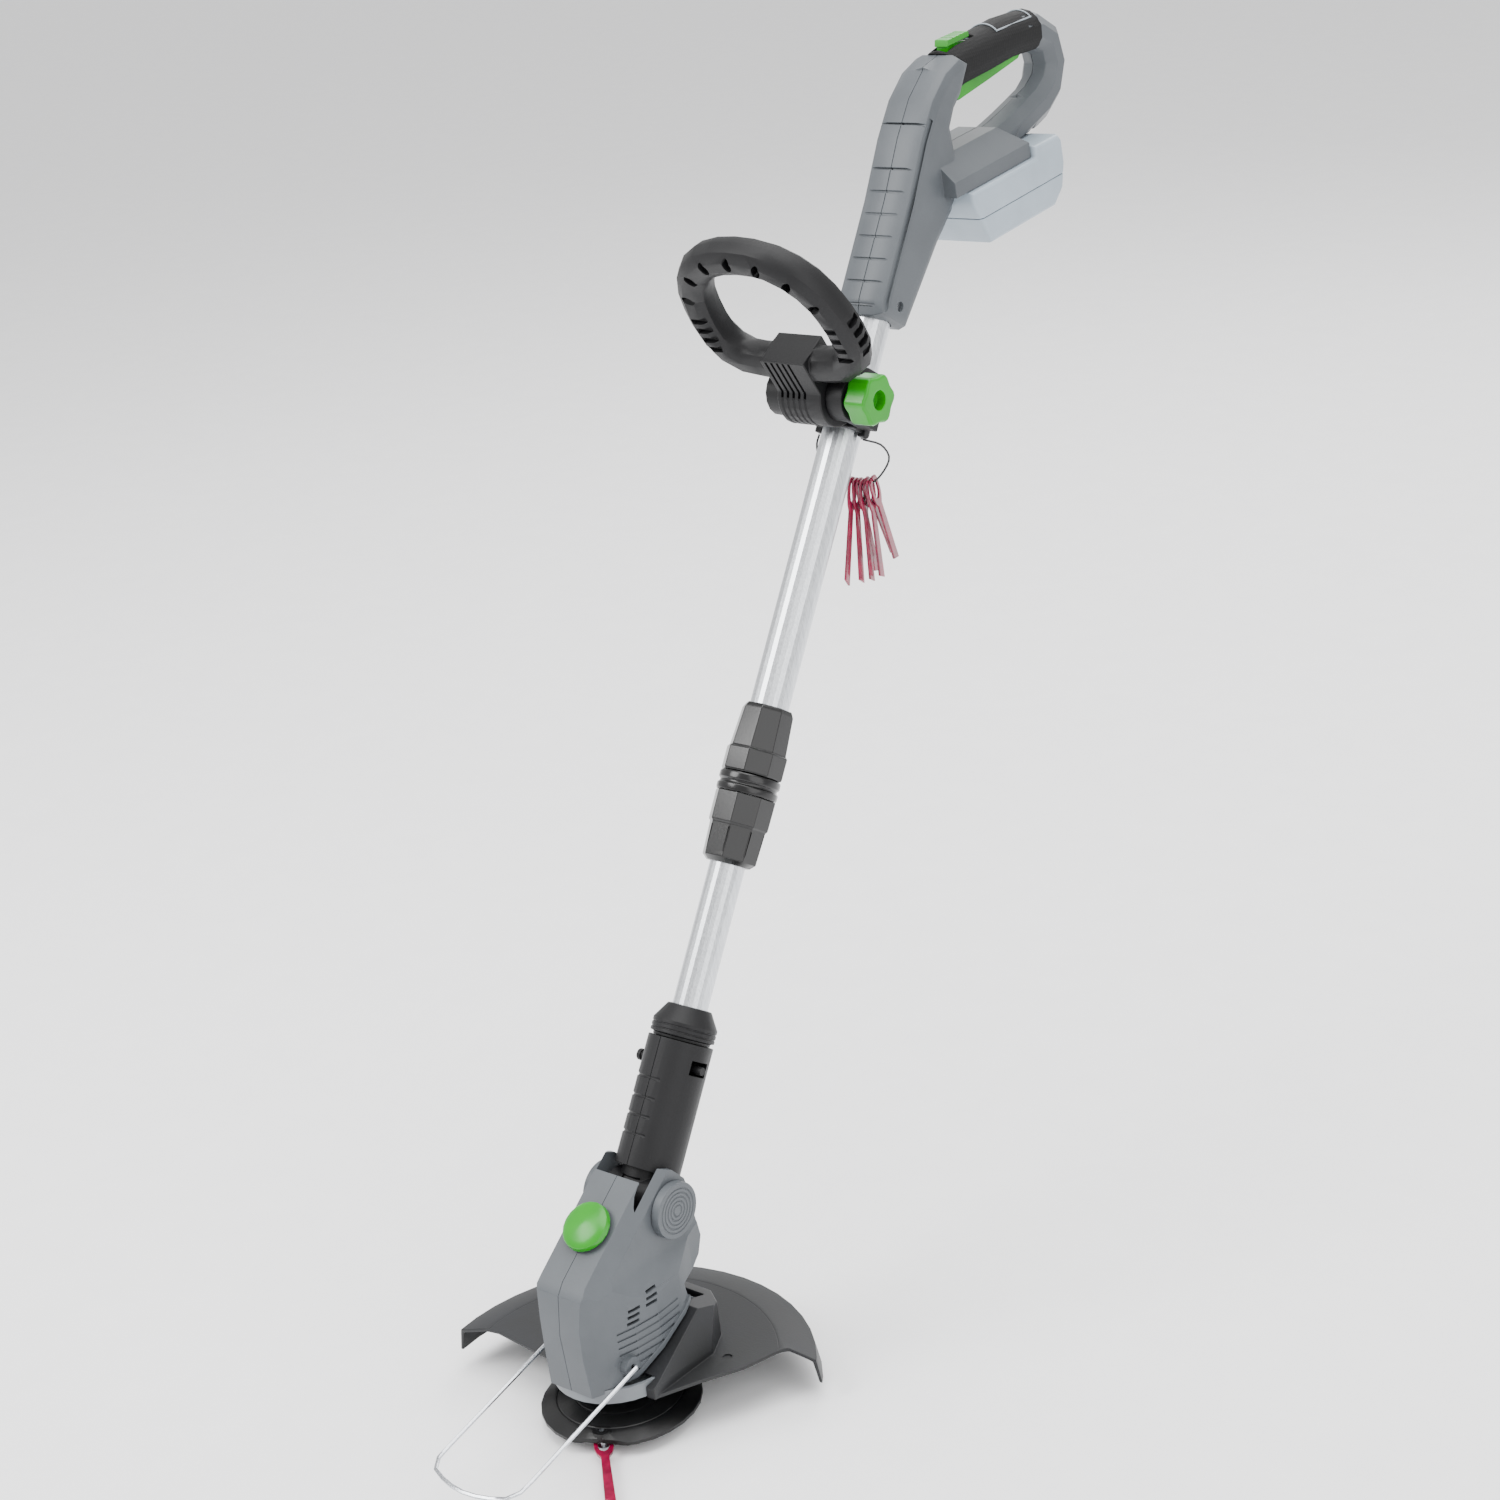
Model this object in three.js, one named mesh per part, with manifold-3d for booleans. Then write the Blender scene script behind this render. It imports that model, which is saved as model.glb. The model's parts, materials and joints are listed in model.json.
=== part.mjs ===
// Cordless string trimmer with a plastic cutting blade.
// Millimetres, +Z up, -Y forward, +X the user's right. The cutter spins about the Z axis and
// the glide face under the cutter disc lies at z = 0.
import * as THREE from 'three';
import Module from 'manifold-3d';
import { mergeVertices } from 'three/addons/utils/BufferGeometryUtils.js';

const wasm = await Module();
wasm.setup();

// ---------------------------------------------------------------- driving dimensions
const GAP = 0.3;                 // clearance between touching pieces
const LEAN = THREE.MathUtils.degToRad(33.5);   // shaft's lean back from upright
const RIM_Z = 9;                 // cutter disc's rim over the glide face
const PIVOT_Y = 44.4;            // tilt pivot behind the cutter axis
const PIVOT_Z = 138.1;           // tilt pivot over the disc's rim

const UPPER_TUBE_R = 14;         // 28 mm upper tube
const UPPER_TUBE_BORE = 13;
const LOWER_TUBE_R = 12.7;       // 25.4 mm lower tube that slides inside it
const LOWER_TUBE_BORE = 11.5;
const UPPER_TUBE_FROM = 300;     // stations along the shaft, measured from the pivot
const UPPER_TUBE_TO = 722;
const LOWER_TUBE_FROM = 118;
const LOWER_TUBE_TO = 455;

const SLEEVE_R = 23.3;
const SLEEVE_FROM = 21;
const SLEEVE_TO = 112.2;
const LOCK_PIN_S = 95.7;         // rotation lock's cross pin

const CLAMP_S = 571;             // front handle's bolt along the shaft
const BOLT_V = -37.3;            // and in front of the shaft's axis
const LOOP_HALF = 58;            // front handle loop, to the middle of its bar
const LOOP_REACH = 128;

const DISC_R = 56.9;
const BLADE_ANGLE = THREE.MathUtils.degToRad(-65);
const BLADE_PIN_R = 47;
const BLADE_LENGTH = 78;
const GUARD_R = 139.4;
const BASE_R = 45;               // motor base ring
const WIRE_R = 1.5;
const WIRE_HALF = 38.5;
const WIRE_HINGE_Y = -19.5;
const WIRE_HINGE_Z = 50.2;

const GRIP_TILT = THREE.MathUtils.degToRad(6);   // battery and its block slope up to the rear
const BLOCK_Y = 500;
const BLOCK_Z = 747;
const NECK_HALF = 22;
const TUBE_SCREW_S = 650;        // screws through the rear housing, along the shaft
const NECK_SCREW_S = 752;
const NECK_SCREW_V = -14;

// ---------------------------------------------------------------- materials
function plastic(color, roughness = 0.55) {
  return new THREE.MeshStandardMaterial({ color, roughness, metalness: 0 });
}

function metal(color, roughness = 0.3) {
  return new THREE.MeshStandardMaterial({ color, roughness, metalness: 1 });
}

const GREY = '#8f9294';
const BLACK = '#3d3d40';
const DARK = '#4d4e50';
const GREEN = '#5cb82e';
const CRIMSON = '#c23054';
const PALE = '#c2cad0';
const ALUMINIUM = '#d4d6d8';
const STEEL = '#b9bcc0';

// ---------------------------------------------------------------- shape helpers
const TO_SIDE = new THREE.Matrix4().makeBasis(
  new THREE.Vector3(0, 1, 0), new THREE.Vector3(0, 0, 1), new THREE.Vector3(1, 0, 0));

function outline(points) {
  return new THREE.Shape(points.map(([x, y]) => new THREE.Vector2(x, y)));
}

function extrude(points, depth) {
  return new THREE.ExtrudeGeometry(outline(points), { depth, bevelEnabled: false });
}

// An outline in Y and Z, between two X planes.
function sidePrism(points, x0, x1) {
  return extrude(points, x1 - x0).applyMatrix4(TO_SIDE).translate(x0, 0, 0);
}

// An outline in X and Y, between two heights.
function plate(points, z0, z1) {
  return extrude(points, z1 - z0).translate(0, 0, z0);
}

// An outline in X and Z, between two Y planes.
function frontPrism(points, y0, y1) {
  return extrude(points, y1 - y0).rotateX(Math.PI / 2).translate(0, y1, 0);
}

// A side outline with rounded long edges. bevelOffset draws the whole outline in by the inset.
function softSlab(points, halfWidth, edge, inset = 0) {
  const depth = 2 * (halfWidth - inset - edge);
  const settings = { depth, bevelEnabled: true, bevelThickness: edge, bevelSize: edge,
    bevelOffset: -edge - inset, bevelSegments: 2 };
  return new THREE.ExtrudeGeometry(outline(points), settings)
    .translate(0, 0, -depth / 2).applyMatrix4(TO_SIDE);
}

function rod(radius, z0, z1, sides = 24, x = 0, y = 0) {
  return new THREE.CylinderGeometry(radius, radius, z1 - z0, sides)
    .rotateX(Math.PI / 2).translate(x, y, (z0 + z1) / 2);
}

function crossRod(radius, x0, x1, y, z, sides = 24) {
  return new THREE.CylinderGeometry(radius, radius, x1 - x0, sides)
    .rotateZ(-Math.PI / 2).translate((x0 + x1) / 2, y, z);
}

function block(x0, x1, y0, y1, z0, z1) {
  return new THREE.BoxGeometry(x1 - x0, y1 - y0, z1 - z0)
    .translate((x0 + x1) / 2, (y0 + y1) / 2, (z0 + z1) / 2);
}

// A closed profile of radius and height, turned about Z.
function turned(profile, sides = 32) {
  const closed = [...profile, profile[0]].map(([r, z]) => new THREE.Vector2(r, z));
  const clockwise = THREE.ShapeUtils.area(closed) < 0;
  if (clockwise) closed.reverse();
  return new THREE.LatheGeometry(closed, sides).rotateX(Math.PI / 2);
}

// A round or oval bar along a route of [x, y, z] points.
function bar(route, radius, sides, steps, flat = radius) {
  const path = new THREE.CatmullRomCurve3(route.map((p) => new THREE.Vector3(...p)));
  const section = [];
  for (let i = 0; i < sides; i++) {
    const turn = (2 * Math.PI * (i + 0.5)) / sides;
    section.push([radius * Math.cos(turn), flat * Math.sin(turn)]);
  }
  const settings = { steps, extrudePath: path, bevelEnabled: false };
  return new THREE.ExtrudeGeometry(outline(section), settings);
}

function toSolid(geometry) {
  const bare = geometry.clone();
  bare.deleteAttribute('normal');
  bare.deleteAttribute('uv');
  const merged = mergeVertices(bare, 1e-4);
  return new wasm.Manifold(new wasm.Mesh({
    numProp: 3,
    vertProperties: new Float32Array(merged.attributes.position.array),
    triVerts: new Uint32Array(merged.index.array),
  }));
}

function toGeometry(solid) {
  const mesh = solid.getMesh();
  const geometry = new THREE.BufferGeometry();
  geometry.setAttribute('position', new THREE.BufferAttribute(mesh.vertProperties, 3));
  geometry.setIndex(new THREE.BufferAttribute(mesh.triVerts, 1));
  return geometry;
}

function combine(operation, first, others) {
  let result = toSolid(first);
  for (const other of others) result = result[operation](toSolid(other));
  return toGeometry(result);
}

const cut = (first, ...others) => combine('subtract', first, others);
const join = (first, ...others) => combine('add', first, others);
const common = (first, ...others) => combine('intersect', first, others);

const BIG = 1500;
const SEAM = GAP / 2;

// The half of a shell on one side of the centre plane: side is -1 or 1.
function half(geometry, side) {
  const keep = side > 0 ? block(SEAM, BIG, -BIG, BIG, -BIG, BIG)
    : block(-BIG, -SEAM, -BIG, BIG, -BIG, BIG);
  return common(geometry, keep);
}

function add(parent, name, geometry, material) {
  const mesh = new THREE.Mesh(geometry, material);
  mesh.name = name;
  parent.add(mesh);
  return mesh;
}

// ---------------------------------------------------------------- groups
const trimmer = new THREE.Group();
const head = new THREE.Group();          // z = 0 at the cutter disc's rim
head.position.z = RIM_Z;
trimmer.add(head);
const shaft = new THREE.Group();         // z runs up the shaft from the pivot, -y in front of it
shaft.position.set(0, PIVOT_Y, PIVOT_Z);
shaft.rotation.x = -LEAN;
head.add(shaft);
const blockGroup = new THREE.Group();    // battery and its block, z = 0 on the battery's top
blockGroup.position.set(0, BLOCK_Y, BLOCK_Z);
blockGroup.rotation.x = GRIP_TILT;
head.add(blockGroup);

function inHead(geometry, group) {
  group.updateMatrix();
  return geometry.applyMatrix4(group.matrix);
}

function inShaft(geometry) {
  shaft.updateMatrix();
  return geometry.applyMatrix4(shaft.matrix.clone().invert());
}

// ---------------------------------------------------------------- cutter
const DISC_PROFILE = [[3, -4], [11, -4], [12, 10], [26, 9.6], [48, 3.4], [55, 0],
  [DISC_R, 0], [DISC_R, 2.4], [49, 6], [26, 12.6], [12.5, 13.6], [11, 19], [3, 19]];

function onBladeRadius(geometry) {
  return geometry.rotateZ(BLADE_ANGLE);
}

function cutterDisc() {
  const notch = onBladeRadius(block(53, 70, -22, 22, -8, 30));
  const boss = onBladeRadius(rod(6.5, 1.2, 7.6, 12, BLADE_PIN_R));
  const pinHole = onBladeRadius(rod(2.4, -8, 20, 8, BLADE_PIN_R));
  return cut(join(turned(DISC_PROFILE, 28), boss), notch, pinHole);
}

function bladePin() {
  const stem = rod(2, -5.6, 7.2, 8, BLADE_PIN_R);
  const foot = rod(4.2, -6.8, -5, 12, BLADE_PIN_R);
  return onBladeRadius(join(stem, foot));
}

// A blade in X and Y: its eye is around the origin and it points along +X.
function bladeOutline() {
  const shape = new THREE.Shape();
  shape.moveTo(-4, -2);
  shape.quadraticCurveTo(-4, -6.5, 2, -6.8);
  shape.lineTo(11, -6.8);
  shape.quadraticCurveTo(17, -6, 21, -3);
  shape.lineTo(BLADE_LENGTH - 8, -3.8);
  shape.lineTo(BLADE_LENGTH - 4, 3.8);
  shape.lineTo(21, 3);
  shape.quadraticCurveTo(17, 6, 11, 6.8);
  shape.lineTo(2, 6.8);
  shape.quadraticCurveTo(-4, 6.5, -4, 2);
  const eye = new THREE.Path();
  eye.moveTo(-1, -2);
  eye.quadraticCurveTo(0, -3.8, 3, -4);
  eye.lineTo(10, -4);
  eye.quadraticCurveTo(14, -3, 15, 0);
  eye.quadraticCurveTo(14, 3, 10, 4);
  eye.lineTo(3, 4);
  eye.quadraticCurveTo(0, 3.8, -1, 2);
  shape.holes.push(eye);
  return shape;
}

function blade(thickness) {
  const settings = { depth: thickness, bevelEnabled: false, curveSegments: 2 };
  return new THREE.ExtrudeGeometry(bladeOutline(), settings).translate(0, 0, -thickness / 2);
}

add(head, 'cutter_disc', cutterDisc(), plastic('#2f3032', 0.45));
add(head, 'blade_pin', bladePin(), metal(STEEL));
const cuttingBlade = add(head, 'cutting_blade', blade(2.6).translate(-2.4, 0, 0),
  plastic(CRIMSON, 0.35));
const BLADE_SWING = THREE.MathUtils.degToRad(21);
cuttingBlade.position.set(BLADE_PIN_R * Math.cos(BLADE_ANGLE), BLADE_PIN_R * Math.sin(BLADE_ANGLE),
  -2.4);
cuttingBlade.rotation.z = BLADE_ANGLE + BLADE_SWING;
add(head, 'glide_cap', turned([[0.01, -RIM_Z], [15, -RIM_Z], [16, -7.5], [16, -4.4],
  [0.01, -4.4]], 20), plastic('#2b2b2d', 0.5));

// ---------------------------------------------------------------- motor head
// The casing is what three outlines have in common: side, plan, and the section across its slope.
const HEAD_SIDE = [[-46, 34], [-49, 80], [-45, 109], [-39, 117], [16.5, 158.5], [21, 165],
  [29, 171], [39, 171], [51, 165], [62, 153], [67, 138], [67, 124], [71, 103], [66, 91],
  [57, 84], [42, 81], [46, 66], [-15, 38]];
const HEAD_PLAN = [[0, -49.5], [18, -48], [27, -34], [34, -10], [37, 10], [36, 36], [30, 56],
  [27, 80], [-27, 80], [-30, 56], [-36, 36], [-37, 10], [-34, -10], [-27, -34], [-18, -48]];
const HEAD_SLOPE = [[20, 0], [38, -27], [38, -170], [-38, -170], [-38, -27], [-20, 0]];
const HEAD_CHEEKS = [[38, 30], [38, 88], [28, 116], [28, 190], [-28, 190], [-28, 116], [-38, 88],
  [-38, 30]];
const SLOPE_ANGLE = Math.atan2(158.5 - 117, 16.5 + 39);
const CASING_WALL = 2.6;

// Draws every edge of an outline in by a distance, or out by a negative one.
function drawnIn(points, distance) {
  const turn = Math.sign(THREE.ShapeUtils.area(points.map(([x, y]) => new THREE.Vector2(x, y))));
  return points.map((point, i) => {
    const before = points.at(i - 1);
    const after = points[(i + 1) % points.length];
    const a = new THREE.Vector2(point[0] - before[0], point[1] - before[1]).normalize();
    const b = new THREE.Vector2(after[0] - point[0], after[1] - point[1]).normalize();
    const normalA = new THREE.Vector2(-a.y, a.x);
    const normalB = new THREE.Vector2(-b.y, b.x);
    const mitre = normalA.add(normalB).multiplyScalar((turn * distance) / (1 + a.dot(b)));
    return [point[0] + mitre.x, point[1] + mitre.y];
  });
}

function headBody(inset) {
  const side = sidePrism(drawnIn(HEAD_SIDE, inset), -60, 60);
  const plan = plate(drawnIn(HEAD_PLAN, inset), 0, 220);
  const cheeks = frontPrism(drawnIn(HEAD_CHEEKS, inset), -120, 120);
  const slope = frontPrism(drawnIn(HEAD_SLOPE, inset), -160, 160)
    .rotateX(SLOPE_ANGLE).translate(0, -39, 117);
  return common(side, plan, cheeks, slope);
}

// Where the sleeve and its knuckle swing between the cheeks.
const SWING_SLOT = [[21, 144.3], [32, 190], [110, 190], [110, 131], [50.6, 114.9]];

const SWING_R = 32.5;
const SWING_HALF = 23.8;

function swingSpace(grow) {
  const reach = SWING_HALF + grow;
  return join(crossRod(SWING_R + grow, -reach, reach, PIVOT_Y, PIVOT_Z, 28),
    sidePrism(drawnIn(SWING_SLOT, -grow), -reach, reach));
}

// Three short vent slots, one above the other, through a side wall.
function ventSlots(y, z) {
  const slots = [];
  for (let i = 0; i < 3; i++) {
    slots.push(block(-60, 60, y - 5 - i, y + 5 - i, z - 4.6 * i - 1.1, z - 4.6 * i + 1.1));
  }
  return slots;
}

const BUTTON_Y = -7;
const BUTTON_Z = 117 + (BUTTON_Y + 39) * Math.tan(SLOPE_ANGLE);
const FLANGE_SLOPE = Math.atan2(66 - 38, 46 + 15);

function onSlope(geometry) {
  return geometry.rotateX(SLOPE_ANGLE).translate(0, BUTTON_Y, BUTTON_Z);
}

// The lip that runs round the casing's slanted lower edge.
function casingLip() {
  const band = block(-60, 60, -22, 90, -1, 3).rotateX(FLANGE_SLOPE).translate(0, -15, 39);
  return common(plate(drawnIn(HEAD_PLAN, -1.6), 20, 120), band,
    block(-60, 60, -30, 46, 0, 200));
}

function motorCasing(side) {
  const wireBosses = crossRod(7, -35.8, 35.8, WIRE_HINGE_Y, WIRE_HINGE_Z, 16);
  const rearTab = sidePrism([[41, 74], [67, 51], [66, 47.5], [38, 65]], -24, 24);
  const outer = join(headBody(0), wireBosses, casingLip(), rearTab);
  const mouth = common(plate(drawnIn(HEAD_PLAN, 5), 20, 72), block(-60, 60, -44.4, 40, 0, 90));
  const cavity = cut(join(headBody(CASING_WALL), mouth), swingSpace(CASING_WALL));
  const hollow = cut(outer, cavity, swingSpace(0),
    crossRod(4.2, -60, 60, PIVOT_Y, PIVOT_Z, 12),
    crossRod(20.8, 28, 60, PIVOT_Y, PIVOT_Z, 20), crossRod(20.8, -60, -28, PIVOT_Y, PIVOT_Z, 20),
    crossRod(WIRE_R + GAP, 29, 60, WIRE_HINGE_Y, WIRE_HINGE_Z, 12),
    crossRod(WIRE_R + GAP, -60, -29, WIRE_HINGE_Y, WIRE_HINGE_Z, 12),
    onSlope(rod(12.4, -30, 20, 24)),
    ...ventSlots(-9, 89), ...ventSlots(8, 96),
    rod(BASE_R + 0.5, 0, 38, 40), block(-60, 60, -60, 90, 0, 33));
  return half(hollow, side);
}

for (const [name, side] of [['motor_casing_left', -1], ['motor_casing_right', 1]]) {
  add(head, name, motorCasing(side), plastic(GREY));
}

add(head, 'motor_base', turned([[5.5, 26.5], [BASE_R, 26.5], [BASE_R, 37.6], [BASE_R - 3, 37.6],
  [BASE_R - 3, 30], [5.5, 30]], 32), plastic('#9a9da0'));

function tiltButton() {
  const cap = turned([[0.01, 1.5], [17.2, 1.5], [18.2, 3], [17.6, 6.5], [13, 9], [0.01, 10]], 20);
  const stem = rod(11.6, -9, 2.5, 16);
  return onSlope(cut(join(cap, stem), rod(8.4, -12, -2, 16)));
}

add(head, 'tilt_button', tiltButton(), plastic(GREEN, 0.4));

const STEPS_A_TURN = 7;

function coilSpring(radius, wire, height, turns) {
  const route = [];
  const steps = turns * STEPS_A_TURN;
  for (let i = 0; i <= steps; i++) {
    const turn = (2 * Math.PI * i) / STEPS_A_TURN;
    route.push([radius * Math.cos(turn), radius * Math.sin(turn), (height * i) / steps]);
  }
  return bar(route, wire, 4, steps);
}

add(head, 'tilt_spring', onSlope(coilSpring(6, 0.7, 12, 4).translate(0, 0, -15)),
  metal(STEEL));

add(head, 'pivot_axle', crossRod(3.9, -27.8, 27.8, PIVOT_Y, PIVOT_Z, 16), metal(STEEL));
for (const [name, side] of [['pivot_cap_left', -1], ['pivot_cap_right', 1]]) {
  const cap = turned([[0.01, 28.3], [20.2, 28.3], [20.2, 34], [19.2, 35], [0.01, 35]], 24);
  add(head, name, cap.rotateY(side * Math.PI / 2).translate(0, PIVOT_Y, PIVOT_Z),
    plastic(GREY));
}

add(head, 'motor_can', join(rod(20, 42, 98, 20), rod(6.5, 98, 101, 10)), metal(STEEL, 0.4));
add(head, 'motor_cradle', turned([[20.4, 42], [29, 42], [29, 46], [23.5, 48], [23.5, 60],
  [20.4, 60]], 20), plastic(DARK));
add(head, 'motor_shaft', rod(2.6, -3.6, 41.6, 12), metal(STEEL, 0.2));
add(head, 'lower_bearing', turned([[2.9, 30.4], [8, 30.4], [8, 36], [2.9, 36]], 16),
  metal(STEEL, 0.2));

// ---------------------------------------------------------------- wire guard
function wireGuard() {
  const right = [[WIRE_HALF, WIRE_HINGE_Y, WIRE_HINGE_Z], [WIRE_HALF, -80, 37], [WIRE_HALF, -124, 27],
    [WIRE_HALF - 0.4, -139, 23.8], [34, -147, 22.4], [20, -153, 21.2]];
  const left = right.map(([x, y, z]) => [-x, y, z]).reverse();
  const loop = bar([...right, [0, -156, 20.6], ...left], WIRE_R, 6, 30);
  return join(loop, crossRod(WIRE_R, 31, WIRE_HALF, WIRE_HINGE_Y, WIRE_HINGE_Z, 8),
    crossRod(WIRE_R, -WIRE_HALF, -31, WIRE_HINGE_Y, WIRE_HINGE_Z, 8));
}

add(head, 'wire_guard', wireGuard(), metal(STEEL, 0.25));

// ---------------------------------------------------------------- debris guard
const GUARD_PROFILE = [[BASE_R + GAP, 26], [115, 26], [136, 20.5], [GUARD_R, 5], [GUARD_R + 2.4, 5],
  [GUARD_R - 0.6, 22.6], [116, 28.6], [BASE_R + GAP, 28.6]];
const GUARD_PLAN = [[49, -17], [64, 14], [80, 42], [88, 68], [92, 77], [112, 80], [170, 80],
  [170, 170], [-170, 170], [-170, -20], [-131, -17], [-104, -12], [-50, -18], [-49, -17]];
const SADDLE_PLAN = [[50, -17], [51, 44], [40, 66], [22, 80], [-22, 80], [-40, 66], [-51, 44],
  [-50, -17]];

function guard() {
  const apron = common(turned(GUARD_PROFILE, 48), plate(GUARD_PLAN, -10, 60));
  const saddle = common(plate(SADDLE_PLAN, 26, 70),
    sidePrism([[-18, 26], [84, 26], [84, 50], [64, 56], [44, 62.5], [-18, 34]], -60, 60),
    frontPrism([[52, 26], [52, 30], [40, 70], [-40, 70], [-52, 30], [-52, 26]], -60, 100));
  const room = join(headBody(-GAP - 0.3), rod(BASE_R + GAP, 0, 38.2, 48), cutForCasing());
  return cut(join(apron, saddle), room);
}

// Room for the lip and the rear tab of the casing.
function cutForCasing() {
  const lip = common(plate(drawnIn(HEAD_PLAN, -1.6 - GAP), 20, 120),
    block(-60, 60, -32, 92, -1.6, 60).rotateX(FLANGE_SLOPE).translate(0, -15, 39));
  const tab = sidePrism([[30, 95], [70, 60], [70, 44.4], [38, 64]], -24.4, 24.4);
  const inside = common(plate(drawnIn(HEAD_PLAN, 3), 36, 90), block(-60, 60, -60, 43, 0, 100));
  return join(lip, tab, inside);
}

add(head, 'guard', guard(), plastic(DARK, 0.6));

// A screw along X whose head faces the given side.
function crossScrew(side, headX, length, y, z) {
  const ends = [side * headX, side * (headX + 2.4)];
  const stem = [side * (headX + 0.4), side * (headX - length)];
  return join(crossRod(3.2, Math.min(...ends), Math.max(...ends), y, z, 12),
    crossRod(1.6, Math.min(...stem), Math.max(...stem), y, z, 8));
}

// ---------------------------------------------------------------- sleeve and knuckle
function sleeveShell(side) {
  const outer = rod(SLEEVE_R, SLEEVE_FROM, SLEEVE_TO, 28);
  const inner = rod(20.5, 25.2, 108.6, 20);
  const pinPocket = block(SLEEVE_R - 5, 40, -9, 7, LOCK_PIN_S - 4.5, LOCK_PIN_S + 5.5);
  const leftPocket = block(-40, -SLEEVE_R + 5, -9, 7, LOCK_PIN_S - 4.5, LOCK_PIN_S + 5.5);
  const hollow = cut(outer, inner, rod(14.6, 100, 120, 20), rod(17.6, 10, 30, 20),
    crossRod(3.4, -40, 40, -1, LOCK_PIN_S, 12), pinPocket, leftPocket);
  return half(hollow, side);
}

add(shaft, 'sleeve_left', sleeveShell(-1), plastic(BLACK));
add(shaft, 'sleeve_right', sleeveShell(1), plastic(BLACK));

function rotationLockPin() {
  return join(crossRod(3, -31, 26, -1, LOCK_PIN_S, 16),
    crossRod(4.2, -31.8, -28.5, -1, LOCK_PIN_S, 16),
    block(-21.5, -18.6, -7, 5, LOCK_PIN_S - 3.4, LOCK_PIN_S + 3.4));
}

add(shaft, 'rotation_lock_pin', rotationLockPin(), plastic(BLACK, 0.45));

add(shaft, 'sleeve_collar', turned([[LOWER_TUBE_R + GAP, SLEEVE_TO + 0.4],
  [20.6, SLEEVE_TO + 0.4], [20.6, SLEEVE_TO + 2.4], [23.1, SLEEVE_TO + 3], [23.1, 124.5],
  [15.8, 136.2], [LOWER_TUBE_R + GAP, 136.6]], 24), plastic(BLACK));

const NOTCHES = 4;               // tilt stops in the knuckle's rim

function knuckle() {
  const barrel = crossRod(19.5, -19.6, 19.6, 0, 0, 20);
  const notches = [];
  for (let i = 0; i < NOTCHES; i++) {
    notches.push(crossRod(2.4, -8, 8, 0, 19.6, 6).rotateX(0.9 + 0.32 * i));
  }
  return cut(join(barrel, rod(17.2, 8, 27, 20), rod(20, 26, 33, 20)),
    crossRod(4.2, -40, 40, 0, 0, 10), rod(4, 8, 60, 8), ...notches);
}

add(shaft, 'tilt_knuckle', knuckle(), plastic('#35363a'));

add(shaft, 'swivel_bush', turned([[4, 102], [19.8, 102], [19.8, 108.2], [14.2, 108.2], [14.2, 112.4],
  [11.2, 112.4], [11.2, 132], [4, 132]], 16), plastic(DARK));

// ---------------------------------------------------------------- tubes and coupler
function pipe(radius, bore, s0, s1, sides = 24) {
  return turned([[bore, s0], [radius, s0], [radius, s1], [bore, s1]], sides);
}

add(shaft, 'lower_tube', pipe(LOWER_TUBE_R, LOWER_TUBE_BORE, LOWER_TUBE_FROM, LOWER_TUBE_TO),
  metal(ALUMINIUM));
add(shaft, 'upper_tube', cut(pipe(UPPER_TUBE_R, UPPER_TUBE_BORE, UPPER_TUBE_FROM, UPPER_TUBE_TO),
  crossRod(2.4, -30, 30, 0, TUBE_SCREW_S, 10)), metal(ALUMINIUM));

// An eight-sided turned piece with a round bore.
function facetted(profile, bore, s0, s1) {
  const faces = turned([[0.01, profile[0][1]], ...profile, [0.01, profile.at(-1)[1]]], 8);
  return cut(faces.rotateZ(Math.PI / 8), rod(bore, s0 - 5, s1 + 5, 24));
}

const CORNER = 1 / Math.cos(Math.PI / 8);
const wide = (points) => points.map(([r, s]) => [r * CORNER, s]);

function couplerBody() {
  const shell = facetted(wide([[20.3, 303.4], [20.8, 305], [20.8, 320], [19.4, 321.4],
    [17.6, 349], [15.6, 353]]), UPPER_TUBE_R + GAP, 303, 353);
  return join(shell, pipe(18, UPPER_TUBE_R + GAP, 289, 305, 24));
}

function clampNut() {
  const shell = facetted(wide([[14.8, 239], [18.4, 242.5], [19.2, 266], [20.4, 267.4],
    [20.6, 288.5]]), 13.2, 239, 288.5);
  return cut(shell, turned([[0.01, 246], [15, 246], [17, 252], [17, 290], [0.01, 290]], 24));
}

function collet() {
  const slots = [0, 1, 2].map((i) => block(-30, 30, -0.8, 0.8, 240, 272).rotateZ((Math.PI * i) / 3));
  return cut(turned([[12.95, 247], [14.7, 247], [16.6, 252.5], [16.6, 288.4],
    [12.95, 288.4]], 18), ...slots);
}

add(shaft, 'coupler_body', couplerBody(), plastic(BLACK, 0.45));
add(shaft, 'coupler_ring', turned([[18.4, 288.9], [21.4, 288.9], [22, 290.5], [22, 293.6], [20.6, 295],
  [20.6, 296.4], [22, 297.8], [22, 301.4], [21.2, 302.9], [18.4, 302.9]], 24), plastic(BLACK, 0.45));
add(shaft, 'clamp_nut', clampNut(), plastic(BLACK, 0.45));
add(shaft, 'collet', collet(), plastic(PALE, 0.5));

// ---------------------------------------------------------------- front handle and its clamp
const CLAMP_FROM = 556;
const CLAMP_TO = 600;
const EYELET_S = 553;
const EAR_IN = 19.6;
const EAR_OUT = 33.6;

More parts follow.
